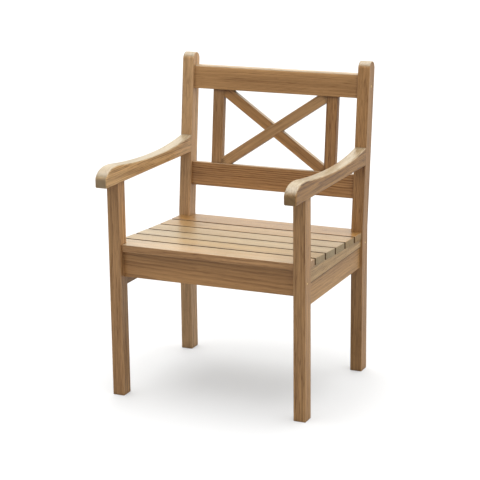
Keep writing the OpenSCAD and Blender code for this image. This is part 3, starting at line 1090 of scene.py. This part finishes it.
@dataclass
class Legs:
    """The four legs, with the back posts as the upper part of the rear ones.

    Attributes:
        measures: The shared sizes.
        arris: Radius of the arrises.
        pin_hole: Radius of the hole round a pin's end.
        plug_hole: Radius of the hole round a plug.
        hole_depth: Depth of these holes.
        top_steps: Number of faces round the top of a post.
    """

    measures: Measures
    arris: float = 1.6 * MM
    pin_hole: float = 4.25 * MM
    plug_hole: float = 5.25 * MM
    hole_depth: float = 3 * MM
    top_steps: int = 20

    def build(self) -> None:
        """Builds all four legs."""
        for side in Side:
            self.front(side)
            self.rear(side)

    def hole(self, side: Side, spot: Point, radius: float) -> bpy.types.Object:
        """Makes the cutter for a peg's hole in a leg's outer face.

        Args:
            side: The leg's side.
            spot: The hole's middle, as Y and Z.
            radius: Its radius.

        Returns:
            The cutter.
        """
        return round_hole(Vector((side.value * self.measures.outer_x, *spot)), radius, self.hole_depth)

    def front(self, side: Side) -> None:
        """Builds a front leg: a square post that runs up into the arm.

        Args:
            side: The leg's side.
        """
        m = self.measures
        x0, x1 = side.span(m.inner_x, m.outer_x)
        node = f"front_leg_{side.word}"
        outline = rectangle((x0, m.front_y), (x1, m.leg_back_y))
        leg = prism(node + "_post", outline, 0.0, m.arm_z + m.tuck, Along.Z)
        eased(leg, self.arris, [self.hole(side, PegSpots.from_frame().front_pin, self.pin_hole)])
        half = m.arm_z / 2
        centre = ((x0 + x1) / 2, (m.front_y + m.leg_back_y) / 2, half)
        dressed(leg, node, teak(node, Lie(centre, Z_AXIS, X_AXIS, -half, half)))

    def rear(self, side: Side) -> None:
        """Builds a rear leg: upright to the bend, then leaning back to a half-round top.

        Args:
            side: The leg's side.
        """
        m = self.measures
        x0, x1 = side.span(m.inner_x, m.outer_x)
        node = f"rear_leg_{side.word}"
        depth = m.rear_leg_d
        lean = math.degrees(m.rake)
        rise = Vector((math.sin(m.rake), math.cos(m.rake)))
        across = Vector((math.cos(m.rake), -math.sin(m.rake)))
        top_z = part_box(node)[1].z - depth / 2
        start = Vector((m.rear_y, m.knee_z)) + across * (depth / 2)
        centre = start + rise * ((top_z - start.y) / rise.y)
        outline = [(m.rear_y, 0.0), (m.rear_y + depth, 0.0)]
        outline.append((m.rear_y + depth, m.knee_z - depth * math.tan(m.rake / 2)))
        outline += arc(centre, depth / 2, -lean, 180 - lean, self.top_steps)
        outline.append((m.rear_y, m.knee_z))
        leg = prism(node + "_post", outline, x0, x1, Along.X)
        spots = PegSpots.from_frame()
        sizes = ((spots.rear_pin, self.pin_hole), (spots.plug, self.plug_hole))
        eased(leg, self.arris, [self.hole(side, *size) for size in sizes])
        centre = ((x0 + x1) / 2, m.rear_y + depth, m.knee_z)
        grain = (0.0, math.sin(m.rake / 2), math.cos(m.rake / 2))
        dressed(leg, node, teak(node, Lie(centre, grain, X_AXIS, -m.knee_z)))


@dataclass
class Arms:
    """The two armrests: a round nose, a crown over the leg, a dip, and a rise to the post.

    Attributes:
        measures: The shared sizes.
        width: Width of an arm.
        arris: Radius of the arrises.
        nose_run: How far back from the tip the nose is rounded.
        nose_face: Height of the flat face at the tip.
        crown_t: Thickness over the front leg.
        low_t: Thickness at the bottom of the dip.
        rear_t: Thickness at the post.
        dip_start: Where the dip starts, behind the front leg's front face.
        dip_low: Where its bottom is, from the same face.
        columns: Number of points along the arm.
    """

    measures: Measures
    width: float = 35 * MM
    arris: float = 4 * MM
    nose_run: float = 54 * MM
    nose_face: float = 20 * MM
    crown_t: float = 52 * MM
    low_t: float = 34 * MM
    rear_t: float = 52 * MM
    dip_start: float = 10 * MM
    dip_low: float = 270 * MM
    columns: int = 90

    def tree(self) -> bpy.types.NodeTree:
        """Builds the arm by its rule: a unit box whose top is bent to the nose, the crown and the dip.

        Returns:
            The Geometry Nodes tree.
        """
        w, given = start_solid("armrest", [
            "Centre X", "Width", "Tip Y", "Rear Y", "Underside Z", "Lean", "Nose Run", "Nose Face", "Crown",
            "Low", "Rear", "Dip Start Y", "Dip Low Y", "Dip End Y",
        ], ["Columns"])
        block = w.add("GeometryNodeMeshCube", {
            "Size": (1.0, 1.0, 1.0), "Vertices X": 2, "Vertices Y": given["Columns"], "Vertices Z": 2,
        })
        x, y, z = w.add("GeometryNodeInputPosition").split()
        share = y + 0.5
        top = z + 0.5
        length = given["Rear Y"] - given["Tip Y"]
        crowded = share * share
        top_y = length * crowded + given["Tip Y"]
        before = (given["Dip Low Y"] - top_y) / (given["Dip Low Y"] - given["Dip Start Y"])
        after = (top_y - given["Dip Low Y"]) / (given["Dip End Y"] - given["Dip Low Y"])
        thick = given["Low"]
        for part, full in ((before.clamped(), given["Crown"]), (after.clamped(), given["Rear"])):
            thick = (full - given["Low"]) * (part * part) + thick
        nose = ((given["Tip Y"] + given["Nose Run"] - top_y) / given["Nose Run"]).clamped()
        round_off = (1.0 - nose * nose).math("SQRT")
        height = ((thick - given["Nose Face"]) * round_off + given["Nose Face"]) * top
        even_y = length * share + given["Tip Y"]
        place = w.join(
            x * given["Width"] + given["Centre X"],
            w.between(top, even_y, top_y) + height * given["Lean"] * crowded,
            given["Underside Z"] + height,
        )
        return w.solid(given, w.add("GeometryNodeSetPosition", {"Geometry": block, "Position": place}))

    def build(self) -> None:
        """Builds both arms from the one tree."""
        tree = self.tree()
        m = self.measures
        for side in Side:
            node = f"armrest_{side.word}"
            tip_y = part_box(node)[0].y
            centre_x = side.value * (m.outer_x - self.width / 2)
            centre = (centre_x, m.front_y + self.dip_low, m.arm_z + self.low_t / 2)
            wood = teak(node, Lie(centre, Y_AXIS, X_AXIS, end=m.post_y(m.arm_z + self.low_t) - centre[1]))
            arm = linked(node + "_board", bpy.data.meshes.new(node))
            grown(arm, tree, {
                "Columns": self.columns, "Centre X": centre_x, "Width": self.width, "Tip Y": tip_y,
                "Rear Y": m.post_y(m.arm_z) + m.tuck, "Underside Z": m.arm_z, "Lean": math.tan(m.rake),
                "Nose Run": self.nose_run, "Nose Face": self.nose_face, "Crown": self.crown_t,
                "Low": self.low_t, "Rear": self.rear_t, "Dip Start Y": m.front_y + self.dip_start,
                "Dip Low Y": m.front_y + self.dip_low, "Dip End Y": m.post_y(m.arm_z + self.rear_t),
                "Material": wood,
            })
            dressed(eased(arm, self.arris), node, wood)


@dataclass(frozen=True)
class SlatLine:
    """The line of the seat's top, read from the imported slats.

    Attributes:
        bends: Where the line bends and how high it is there, at the middle of each gap.
        spans: For each slat its front and rear edge, each as Y and the height of its top.
    """

    bends: tuple[Point, ...]
    spans: tuple[tuple[Point, Point], ...]

    @classmethod
    def read(cls, slat_t: float, ease: float = 2 * MM) -> "SlatLine":
        """Reads the line from the slats' boxes.

        Args:
            slat_t: Thickness of the slats.
            ease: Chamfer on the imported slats, which takes a little off their highest corner.

        Returns:
            The line.
        """
        spans = []
        for number in range(1, SLATS + 1):
            low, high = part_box(f"seat_slat_{number}")
            rear_z = low.z + slat_t
            lost = ease / (high.y - low.y)
            front_z = (high.z - rear_z * lost) / (1 - lost)
            spans.append(((low.y, front_z), (high.y, rear_z)))
        bends = [spans[0][0]]
        for one, other in zip(spans, spans[1:]):
            bends.append(((one[1][0] + other[0][0]) / 2, (one[1][1] + other[0][1]) / 2))
        bends.append(spans[-1][1])
        return cls(tuple(bends), tuple(spans))


@dataclass
class SeatFrame:
    """The aprons, the side rails and the bearers that carry the slats.

    Attributes:
        measures: The shared sizes.
        slat_t: Thickness of the slats.
        arris: Radius of the arrises.
        seam_drop: How far under a side rail's top edge the painted shadow below its bearer's overhang lies.
    """

    measures: Measures
    slat_t: float = 20 * MM
    arris: float = 1.6 * MM
    seam_drop: float = 2 * MM

    def build(self) -> None:
        """Builds all six members."""
        self.apron("front_apron")
        slat_low, slat_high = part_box(f"seat_slat_{SLATS}")
        self.apron("rear_apron", (slat_high.z - slat_low.z - self.slat_t) / (slat_high.y - slat_low.y))
        for side in Side:
            self.side_rail(f"side_rail_{side.word}")
            self.bearer(f"seat_bearer_{side.word}")

    @property
    def run(self) -> Point:
        """Where a side member starts and ends, with its tucked ends."""
        return self.measures.leg_back_y - self.measures.tuck, self.measures.rear_y + self.measures.tuck

    def apron(self, node: str, fall: float = 0.0) -> None:
        """Builds an apron.

        Args:
            node: Its node.
            fall: How steeply its top falls to the rear, with the slat on it.
        """
        m = self.measures
        low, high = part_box(node)
        reach = m.inner_x + m.tuck
        outline = rectangle((low.y, low.z), (high.y, high.z))
        outline[2] = (high.y, high.z - fall * (high.y - low.y))
        board = eased(prism(node + "_board", outline, -reach, reach, Along.X), self.arris)
        centre = (0.0, (low.y + high.y) / 2, (low.z + high.z) / 2)
        dressed(board, node, teak(node, Lie(centre, X_AXIS, Z_AXIS, -m.inner_x, m.inner_x)))

    def side_rail(self, node: str) -> None:
        """Builds the rail between a front and a rear leg.

        Args:
            node: Its node.
        """
        low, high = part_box(node)
        outline = rectangle((low.x, low.z), (high.x, high.z))
        board = prism(node + "_board", outline, *self.run, Along.Y)
        # The painted shadow of the bearer's overhang runs along the rail near its top
        self.fitted(board, node, (high.z - low.z) / 2 - self.seam_drop)

    def bearer(self, node: str) -> None:
        """Builds a bearer, whose top follows the undersides of the slats.

        Args:
            node: Its node.
        """
        low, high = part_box(node)
        start, end = self.run
        unders = [(y, z - self.slat_t) for y, z in SlatLine.read(self.slat_t).bends if start < y < end]
        outline = [(start, high.z), (start, low.z), (end, low.z), (end, unders[-1][1]), *reversed(unders)]
        board = prism(node + "_board", outline, low.x, high.x, Along.X)
        # The same painted shadow line darkens the bearer's bottom edge
        self.fitted(board, node, (low.z - high.z) / 2)

    def fitted(self, board: bpy.types.Object, node: str, seam: float) -> None:
        """Finishes a board that runs between two legs.

        Args:
            board: The board.
            node: Its node.
            seam: How far above its middle the rail and the bearer meet.
        """
        m = self.measures
        low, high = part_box(node)
        centre = ((low.x + high.x) / 2, (m.leg_back_y + m.rear_y) / 2, (low.z + high.z) / 2)
        half = (m.rear_y - m.leg_back_y) / 2
        wood = teak(node, Lie(centre, Y_AXIS, Z_AXIS, -half, half, seam))
        dressed(eased(board, self.arris), node, wood)


@dataclass
class Seat:
    """The six slats across, the first and the last cut round the legs.

    Attributes:
        measures: The shared sizes.
        slat_t: Thickness of the slats.
        arris: Radius of the arrises.
        notch_gap: Gap between a notch and its leg.
        near: How close to a gap's edge a point is in its shadow.
    """

    measures: Measures
    slat_t: float = 20 * MM
    arris: float = 1.3 * MM
    notch_gap: float = 1 * MM
    near: float = 0.3 * MM

    # The slat starts as a grid of nine fields, 1 by 1. The inner points lie a sixth from its middle, and
    # the middles of the outer fields a third
    GRID_POINTS: ClassVar[int] = 4
    INNER_POINT: ClassVar[float] = 0.3
    OUTER_FIELD: ClassVar[float] = 0.25
    # Points closer than this fall together, first at notches of no depth, then where top and sides meet
    NOTCH_MERGE: ClassVar[float] = 0.1 * MM
    SEAM_MERGE: ClassVar[float] = 0.01 * MM

    def tree(self) -> bpy.types.NodeTree:
        """Builds a slat: a grid of nine fields, its corners cut away, thickened to a board.

        Returns:
            The Geometry Nodes tree.
        """
        w, given = start_solid("seat_slat", [
            "Half Length", "Thickness", "Front Y", "Rear Y", "Front Z", "Rear Z", "Notch Width",
            "Front Notch", "Rear Notch",
        ])
        grid = w.add("GeometryNodeMeshGrid", {
            "Size X": 1.0, "Size Y": 1.0, "Vertices X": self.GRID_POINTS, "Vertices Y": self.GRID_POINTS,
        })
        x, y, _ = w.add("GeometryNodeInputPosition").split()
        far_x, far_y = (part.math("ABSOLUTE") for part in (x, y))
        corner_x, corner_y = (part.math("GREATER_THAN", self.OUTER_FIELD) for part in (far_x, far_y))
        inner_x, inner_y = (part.math("LESS_THAN", self.INNER_POINT) for part in (far_x, far_y))
        corner = {"Geometry": grid, "Selection": corner_x * corner_y}
        cross = w.add("GeometryNodeDeleteGeometry", corner, domain="FACE")
        half = given["Half Length"] - inner_x * given["Notch Width"]
        front = inner_y * given["Front Notch"] + given["Front Y"]
        rear = given["Rear Y"] - inner_y * given["Rear Notch"]
        place_y = w.between(y.math("GREATER_THAN", 0.0), front, rear)
        ends = (given[name] for name in ("Front Y", "Rear Y", "Front Z", "Rear Z"))
        under_z = place_y.ramp(*ends, smooth=False) - given["Thickness"]
        place = w.join(x.math("SIGN") * half, place_y, under_z)
        under = w.add("GeometryNodeSetPosition", {"Geometry": cross, "Position": place})
        under = w.add("GeometryNodeMergeByDistance", {"Geometry": under, "Distance": self.NOTCH_MERGE})
        up = w.join(z=given["Thickness"])
        raised = w.add("GeometryNodeExtrudeMesh", {"Mesh": under, "Offset": up, "Individual": False})
        turned = w.add("GeometryNodeFlipFaces", {0: under})
        both = w.add("GeometryNodeJoinGeometry")
        for part in (raised, turned):
            w.feed(both.node.inputs[0], part)
        board = w.add("GeometryNodeMergeByDistance", {"Geometry": both, "Distance": self.SEAM_MERGE})
        return w.solid(given, board)

    def build(self) -> None:
        """Builds the six slats from the one tree."""
        m = self.measures
        tree = self.tree()
        spans = SlatLine.read(self.slat_t).spans
        for number, (front, rear) in enumerate(spans, 1):
            node = f"seat_slat_{number}"
            centre = (0.0, (front[0] + rear[0]) / 2, (front[1] + rear[1] - self.slat_t) / 2)
            wood = teak(node, Lie(centre, X_AXIS, Y_AXIS))
            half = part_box(node)[1].x
            slat = linked(node + "_board", bpy.data.meshes.new(node))
            front_notch = max(0.0, m.leg_back_y + self.notch_gap - front[0])
            rear_notch = max(0.0, rear[0] - m.rear_y + self.notch_gap)
            grown(slat, tree, {
                "Half Length": half, "Thickness": self.slat_t,
                "Front Y": front[0], "Rear Y": rear[0], "Front Z": front[1], "Rear Z": rear[1],
                "Notch Width": half - m.inner_x + self.notch_gap,
                "Front Notch": front_notch if number == 1 else 0.0,
                "Rear Notch": rear_notch if number == SLATS else 0.0, "Material": wood,
            })
            eased(slat, self.arris)
            # Painted shade in the gaps between slats
            gaps = [edge for edge in (front[0], rear[0]) if spans[0][0][0] < edge < spans[-1][1][0]]
            shadowed(slat, lambda point: any(abs(point.y - gap) < self.near for gap in gaps))
            dressed(slat, node, wood)


@dataclass
class Back:
    """The crest rail, the lower rail, the stiles and the crossed braces, in the plane of the posts.

    Attributes:
        measures: The shared sizes.
        crest_drop: From the top of the posts down to the crest rail.
        crest_h: Height of the crest rail.
        crest_t: Its thickness.
        crest_r: Radius of its two top edges.
        low_rise: From the bend of the posts up to the lower rail.
        low_h: Height of the lower rail.
        low_t: Its thickness.
        stile_w: Width of a stile.
        stile_t: Its thickness.
        stile_gap: Between a post and a stile.
        brace_w: Width of a brace.
        brace_t: Its thickness.
        arris: Radius of the rails' arrises.
        brace_arris: Radius of the stiles' and the braces' arrises.
        lap_gap: Gap on each side of a brace where it crosses the other.
    """

    measures: Measures
    crest_drop: float = 35 * MM
    crest_h: float = 70 * MM
    crest_t: float = 26 * MM
    crest_r: float = 9 * MM
    low_rise: float = 81 * MM
    low_h: float = 69 * MM
    low_t: float = 22 * MM
    stile_w: float = 34 * MM
    stile_t: float = 18 * MM
    stile_gap: float = 61 * MM
    brace_w: float = 31 * MM
    brace_t: float = 18 * MM
    arris: float = 1.6 * MM
    brace_arris: float = 1.3 * MM
    lap_gap: float = 0.15 * MM

    @property
    def mid_v(self) -> float:
        """Middle of the posts' depth."""
        return self.measures.rear_leg_d / 2

    @property
    def low_top(self) -> float:
        """Top edge of the lower rail, up the posts."""
        return self.low_rise + self.low_h

    @property
    def crest_bottom(self) -> float:
        """Bottom edge of the crest rail, up the posts.

        Returns:
            Its distance from the bend.
        """
        m = self.measures
        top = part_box("rear_leg_right")[1].z
        arc_w = (top - self.mid_v - m.knee_z + self.mid_v * math.sin(m.rake)) / math.cos(m.rake)
        return arc_w + self.mid_v - self.crest_drop - self.crest_h

    @property
    def opening_x(self) -> float:
        """Inner faces of the stiles."""
        return self.measures.inner_x - self.stile_gap - self.stile_w

    def build(self) -> None:
        """Builds the two rails, the two stiles and the two braces."""
        self.lower_rail()
        self.crest()
        for side in Side:
            self.stile(side)
        for way in Way:
            self.brace(way)

    def wood(self, node: str, w: float, grain: Triple, width: Triple, half: float, x: float = 0.0
             ) -> bpy.types.Material:
        """Builds the wood of a board in the plane of the posts.

        Args:
            node: Its node.
            w: Its middle up the posts.
            grain: The direction of its grain in that plane's own axes.
            width: The direction of its width there.
            half: Half of its length between its joints.
            x: Its middle across the chair.

        Returns:
            The material.
        """
        raked = self.measures.raked
        turn = raked.to_3x3()
        centre = raked @ Vector((x, self.mid_v, w))
        return teak(node, Lie(centre, turn @ Vector(grain), turn @ Vector(width), -half, half))

    def rail(self, node: str, outline: Sequence[Point], height: float) -> None:
        """Builds a rail between the posts.

        Args:
            node: Its node.
            outline: Its section, off the front of the posts and up them.
            height: Its middle up the posts.
        """
        m = self.measures
        reach = m.inner_x + m.tuck
        board = eased(prism(node + "_board", outline, -reach, reach, Along.X, m.raked), self.arris)
        dressed(board, node, self.wood(node, height, X_AXIS, Z_AXIS, m.inner_x))

    def lower_rail(self) -> None:
        """Builds the lower rail."""
        half_t = self.low_t / 2
        outline = rectangle((self.mid_v - half_t, self.low_rise), (self.mid_v + half_t, self.low_top))
        self.rail("lower_back_rail", outline, self.low_rise + self.low_h / 2)

    def crest(self) -> None:
        """Builds the crest rail, whose two top edges are round."""
        front = self.mid_v - self.crest_t / 2
        back = self.mid_v + self.crest_t / 2
        bottom = self.crest_bottom
        shoulder = bottom + self.crest_h - self.crest_r
        outline = [(front, bottom), (back, bottom)]
        outline += arc((back - self.crest_r, shoulder), self.crest_r, 0, 90)
        outline += arc((front + self.crest_r, shoulder), self.crest_r, 90, 180)
        self.rail("crest_rail", outline, bottom + self.crest_h / 2)

    def stile(self, side: Side) -> None:
        """Builds a stile between the two rails.

        Args:
            side: Its side.
        """
        m = self.measures
        x0, x1 = side.span(self.opening_x, self.opening_x + self.stile_w)
        half_t = self.stile_t / 2
        outline = rectangle((x0, self.mid_v - half_t), (x1, self.mid_v + half_t))
        start = self.low_top - m.tuck
        end = self.crest_bottom + m.tuck
        node = f"back_stile_{side.word}"
        board = eased(prism(node + "_board", outline, start, end, Along.Z, m.raked), self.brace_arris)
        half = (end - start) / 2 - m.tuck
        wood = self.wood(node, (start + end) / 2, Z_AXIS, X_AXIS, half, (x0 + x1) / 2)
        dressed(board, node, wood)

    def brace(self, way: Way) -> None:
        """Builds a brace, halved where the other one crosses it.

        Args:
            way: Its direction.
        """
        node = f"back_brace_{way.name.lower()}"
        half_t = self.brace_t / 2
        board = self.bar(node + "_board", way, self.mid_v - half_t, self.mid_v + half_t, 0.0)
        over = half_t + self.arris
        front, back = (self.mid_v, self.mid_v + over)
        other = Way.FALLING
        if way is Way.FALLING:
            front, back = (self.mid_v - over, self.mid_v)
            other = Way.RISING
        eased(board, self.brace_arris, [self.bar("brace_lap", other, front, back, self.lap_gap)])
        slope = math.atan2(self.crest_bottom - self.low_top, 2 * self.opening_x) * way.value
        along = (math.cos(slope), 0.0, math.sin(slope))
        width = (-math.sin(slope), 0.0, math.cos(slope))
        # The ends are pointed, so their joints lie a little nearer the middle than the opening's corners
        half = self.opening_x / math.cos(slope) - self.brace_w / 4
        wood = self.wood(node, (self.low_top + self.crest_bottom) / 2, along, width, half)
        dressed(board, node, wood)

    def bar(self, name: str, way: Way, front: float, back: float, gap: float) -> bpy.types.Object:
        """Makes a slanting bar that is cut to the opening between the rails and the stiles.

        Args:
            name: The object's name.
            way: Its direction.
            front: Its front face, off the front of the posts.
            back: Its rear face.
            gap: How much wider it is on each edge.

        Returns:
            The bar.
        """
        half_x = self.opening_x + self.measures.tuck
        middle = (self.low_top + self.crest_bottom) / 2
        half_w = (self.crest_bottom - self.low_top) / 2
        slope = math.atan2(half_w, self.opening_x)
        reach = (self.brace_w / 2 + gap) / math.cos(slope)
        half_w += self.measures.tuck
        edge_w = half_x * math.tan(slope)
        # Corners of the rising bar: its long edges meet the stiles and the rails
        corners = [
            (-half_x, -edge_w + reach), (-half_x, -half_w),
            ((-half_w + reach) / math.tan(slope), -half_w),
            (half_x, edge_w - reach), (half_x, half_w),
            ((half_w - reach) / math.tan(slope), half_w),
        ]
        outline = [(x, middle + way.value * w) for x, w in corners]
        return prism(name, outline, front, back, Along.Y, self.measures.raked)


@dataclass
class Pegs:
    """The pins through the bearers' tenons and the plugs over the crest screws.

    Attributes:
        measures: The shared sizes.
        pin_length: Length of a pin.
        plug_radius: Radius of a plug.
        plug_length: Length of a plug.
        recess: How far a peg's end lies under the leg's face.
        arris: Radius of the arris round that end.
        arris_steps: Number of faces round the arris.
        shadow_depth: How far under its end a peg's side is in shadow.
    """

    measures: Measures
    pin_length: float = 19 * MM
    plug_radius: float = 5 * MM
    plug_length: float = 8 * MM
    recess: float = 0.25 * MM
    arris: float = 1 * MM
    arris_steps: int = 2
    shadow_depth: float = 0.2 * MM

    def tree(self) -> bpy.types.NodeTree:
        """Builds round pegs on points, each looking out of the side of the chair that it is on.

        Returns:
            The Geometry Nodes tree.
        """
        w, given = start_solid("pegs", ["Radius", "Length"])
        sizes = {"Vertices": PEG_SIDES, "Radius": given["Radius"], "Depth": given["Length"]}
        peg = w.add("GeometryNodeMeshCylinder", sizes)
        shift = w.join(z=given["Length"] * -0.5)
        peg = w.add("GeometryNodeTransform", {"Geometry": peg, "Translation": shift})
        out = w.add("GeometryNodeInputPosition").split()[0].math("SIGN")
        turn = w.add("FunctionNodeAlignRotationToVector", {"Vector": w.join(x=out)}, axis="Z")
        points = {"Points": given["Geometry"], "Instance": peg, "Rotation": turn}
        return w.solid(given, w.add("GeometryNodeInstanceOnPoints", points))

    def build(self) -> None:
        """Builds the pins and the plugs."""
        tree = self.tree()
        spots = PegSpots.from_frame()
        pins = [spots.front_pin, spots.rear_pin]
        self.group(tree, "bearer_pins", pins, spots.pin_radius, self.pin_length)
        self.group(tree, "crest_plugs", [spots.plug], self.plug_radius, self.plug_length)

    def group(self, tree: bpy.types.NodeTree, node: str, spots: Sequence[Point], radius: float,
              length: float) -> None:
        """Builds one node's pegs on both sides of the chair.

        Args:
            tree: The Geometry Nodes tree.
            node: The node.
            spots: Middles of the pegs on each side, as Y and Z.
            radius: Their radius.
            length: Their length.
        """
        face_x = self.measures.outer_x - self.recess
        wood = teak(node, Lie((0.0, 0.0, 0.0), X_AXIS, Y_AXIS))
        mesh = bpy.data.meshes.new(node)
        mesh.from_pydata([(side.value * face_x, y, z) for side in Side for y, z in spots], [], [])
        pegs = linked(node + "_ends", mesh)
        grown(pegs, tree, {"Radius": radius, "Length": length - self.recess, "Material": wood})
        eased(pegs, self.arris, steps=self.arris_steps)
        # Painted shade round the sides of the sunk peg ends
        shadowed(pegs, lambda point: abs(point.x) < face_x - self.shadow_depth)
        dressed(pegs, node, wood)


@dataclass
class HiddenFasteners:
    """Screws and dowels inside the wood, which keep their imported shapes."""

    def build(self) -> None:
        """Gives the screws steel and the dowels wood."""
        steel = Steel().material("screw_steel")
        self.coat("crest_screws", steel)
        self.coat("slat_screws", steel)
        self.coat("brace_dowels", teak("brace_dowels", Lie((0.0, 0.0, 0.0), Z_AXIS, X_AXIS)))

    def coat(self, node: str, material: bpy.types.Material) -> None:
        """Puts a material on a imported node.

        Args:
            node: The node.
            material: The material.
        """
        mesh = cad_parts[node].data
        mesh.materials.clear()
        mesh.materials.append(material)
        log.info("%s: packed shape in %s", node, material.name)


# Studio

@dataclass
class Studio:
    """The camera, the floor and the soft light.

    Attributes:
        eye: Where the camera stands.
        yaw: How far it is turned to its left.
        pitch: How far it looks down.
        roll: How far it is tilted.
        lens: Its focal length, in millimetres.
        sensor: Width of its sensor, in millimetres.
        floor_size: Edge of the floor.
        floor_dark: The floor's grey as the chair sees it.
        floor_pale: The floor's grey as the camera sees it.
        floor_glow: What the camera sees on top of that, so that the floor ends in white.
        floor_roughness: The floor's roughness.
        floor_gloss: Its specular level.
        key_from: The direction that the key light comes from.
        key_strength: Its strength in watts per square metre.
        key_spread: The angle that it fills.
        overhead: Brightness of the world straight above.
        rim: How much brighter the world is on the right.
        panel_from: The direction of a warm panel behind the chair on the left.
        panel_edge: Cosines of the angles off its middle where it starts and where it is full.
        panel_strength: Its brightness.
        panel_colour: Its colour.
    """

    eye: Triple = (1.773692, -3.970431, 1.572998)
    yaw: float = math.radians(24.061)
    pitch: float = math.radians(14.865)
    roll: float = math.radians(-0.633)
    lens: float = 120.61
    sensor: float = 36.0
    floor_size: float = 60.0
    floor_dark: Colour = (0.24, 0.24, 0.24, 1.0)
    floor_pale: Colour = (0.38, 0.38, 0.38, 1.0)
    floor_glow: float = 0.36
    floor_roughness: float = 0.9
    floor_gloss: float = 0.1
    key_from: Triple = (-0.06, 0.05, 1.0)
    key_strength: float = 3.3
    key_spread: float = math.radians(60)
    overhead: float = 1.3
    rim: float = 0.7
    panel_from: Triple = (-0.345, 0.775, 0.53)
    panel_edge: Point = (0.84, 0.98)
    panel_strength: float = 1.5
    panel_colour: Colour = (0.98, 0.98, 0.89, 1.0)

    def build(self) -> None:
        """Builds the whole studio."""
        self.camera()
        self.floor()
        self.world()
        self.key()
        bpy.context.scene.view_settings.view_transform = "Standard"
        log.info("studio: camera, floor, world and key")

    def camera(self) -> None:
        """Sets the camera where the photograph was taken from."""
        ahead = Vector((
            -math.sin(self.yaw) * math.cos(self.pitch),
            math.cos(self.yaw) * math.cos(self.pitch),
            -math.sin(self.pitch),
        ))
        level = Vector((math.cos(self.yaw), math.sin(self.yaw), 0.0))
        above = level.cross(ahead)
        right = math.cos(self.roll) * level + math.sin(self.roll) * above
        up = math.cos(self.roll) * above - math.sin(self.roll) * level
        data = bpy.data.cameras.new("camera")
        data.lens = self.lens
        data.sensor_width = self.sensor
        camera = bpy.data.objects.new("camera", data)
        turn = Matrix((right, up, -ahead)).transposed().to_4x4()
        camera.matrix_world = Matrix.Translation(self.eye) @ turn
        bpy.context.scene.collection.objects.link(camera)
        bpy.context.scene.camera = camera

    def floor(self) -> None:
        """Lays a plain pale floor."""
        half = self.floor_size / 2
        mesh = bpy.data.meshes.new("floor")
        mesh.from_pydata([(x, y, 0.0) for x, y in rectangle((-half, -half), (half, half))], [], [range(4)])
        floor = linked("floor", mesh)
        material = bpy.data.materials.new("pale_floor")
        w = blank_nodes(material)
        seen = w.add("ShaderNodeLightPath")["Is Camera Ray"]
        w.surface({
            "Base Color": w.blend(seen, self.floor_dark, self.floor_pale),
            "Roughness": self.floor_roughness, "Specular IOR Level": self.floor_gloss,
            "Emission Color": WHITE, "Emission Strength": seen * self.floor_glow,
        })
        mesh.materials.append(material)

    def world(self) -> None:
        """Surrounds the chair with white, dimmer on the camera's side."""
        world = bpy.data.worlds.new("studio")
        bpy.context.scene.world = world
        w = blank_nodes(world)
        towards = w.add("ShaderNodeTexCoord")["Generated"]
        right, back, up = towards.split()
        # Each ramp goes by one direction, and most of them from one brightness to another
        dim = back.ramp(-0.4, 0.7, 0.5, 0.85) * right.ramp(-0.9, 0.3, 0.1) * up.ramp(0.0, 0.4, 0.75)
        dim = right.ramp(0.1, 0.8) * back.ramp(-0.5, 0.3) * self.rim + dim
        dim = w.between(up.ramp(0.3, 0.9), dim, self.overhead)
        seen = w.add("ShaderNodeLightPath")["Is Camera Ray"]
        plain = w.add("ShaderNodeBackground", {"Color": WHITE, "Strength": w.between(seen, dim, 1.0)})
        panel = Vector(self.panel_from).normalized()
        beside = towards.math("DOT_PRODUCT", panel)["Value"]
        glow = beside.ramp(*self.panel_edge, 0.0, self.panel_strength) * (1.0 - seen)
        warm = w.add("ShaderNodeBackground", {"Color": self.panel_colour, "Strength": glow})
        both = w.add("ShaderNodeAddShader", {0: plain, 1: warm})
        w.add("ShaderNodeOutputWorld", {"Surface": both})

    def key(self) -> None:
        """Hangs a light so broad and so far that it reaches the whole floor alike."""
        data = bpy.data.lights.new("key", "SUN")
        data.energy = self.key_strength
        data.angle = self.key_spread
        light = bpy.data.objects.new("key", data)
        light.matrix_world = Vector(self.key_from).to_track_quat("Z", "Y").to_matrix().to_4x4()
        bpy.context.scene.collection.objects.link(light)


def main() -> None:
    """Builds the chair and the studio."""
    logging.basicConfig(level=logging.INFO, format="%(name)s: %(message)s")
    timber_figure_group()
    sun_fade_group()
    arris_wear_group()
    joint_grime_group()
    Studio().build()
    measures = Measures.from_frame()
    for sub_assembly in (Legs, Arms, SeatFrame, Seat, Back, Pegs):
        sub_assembly(measures).build()
    HiddenFasteners().build()


if __name__ == "__main__":
    main()
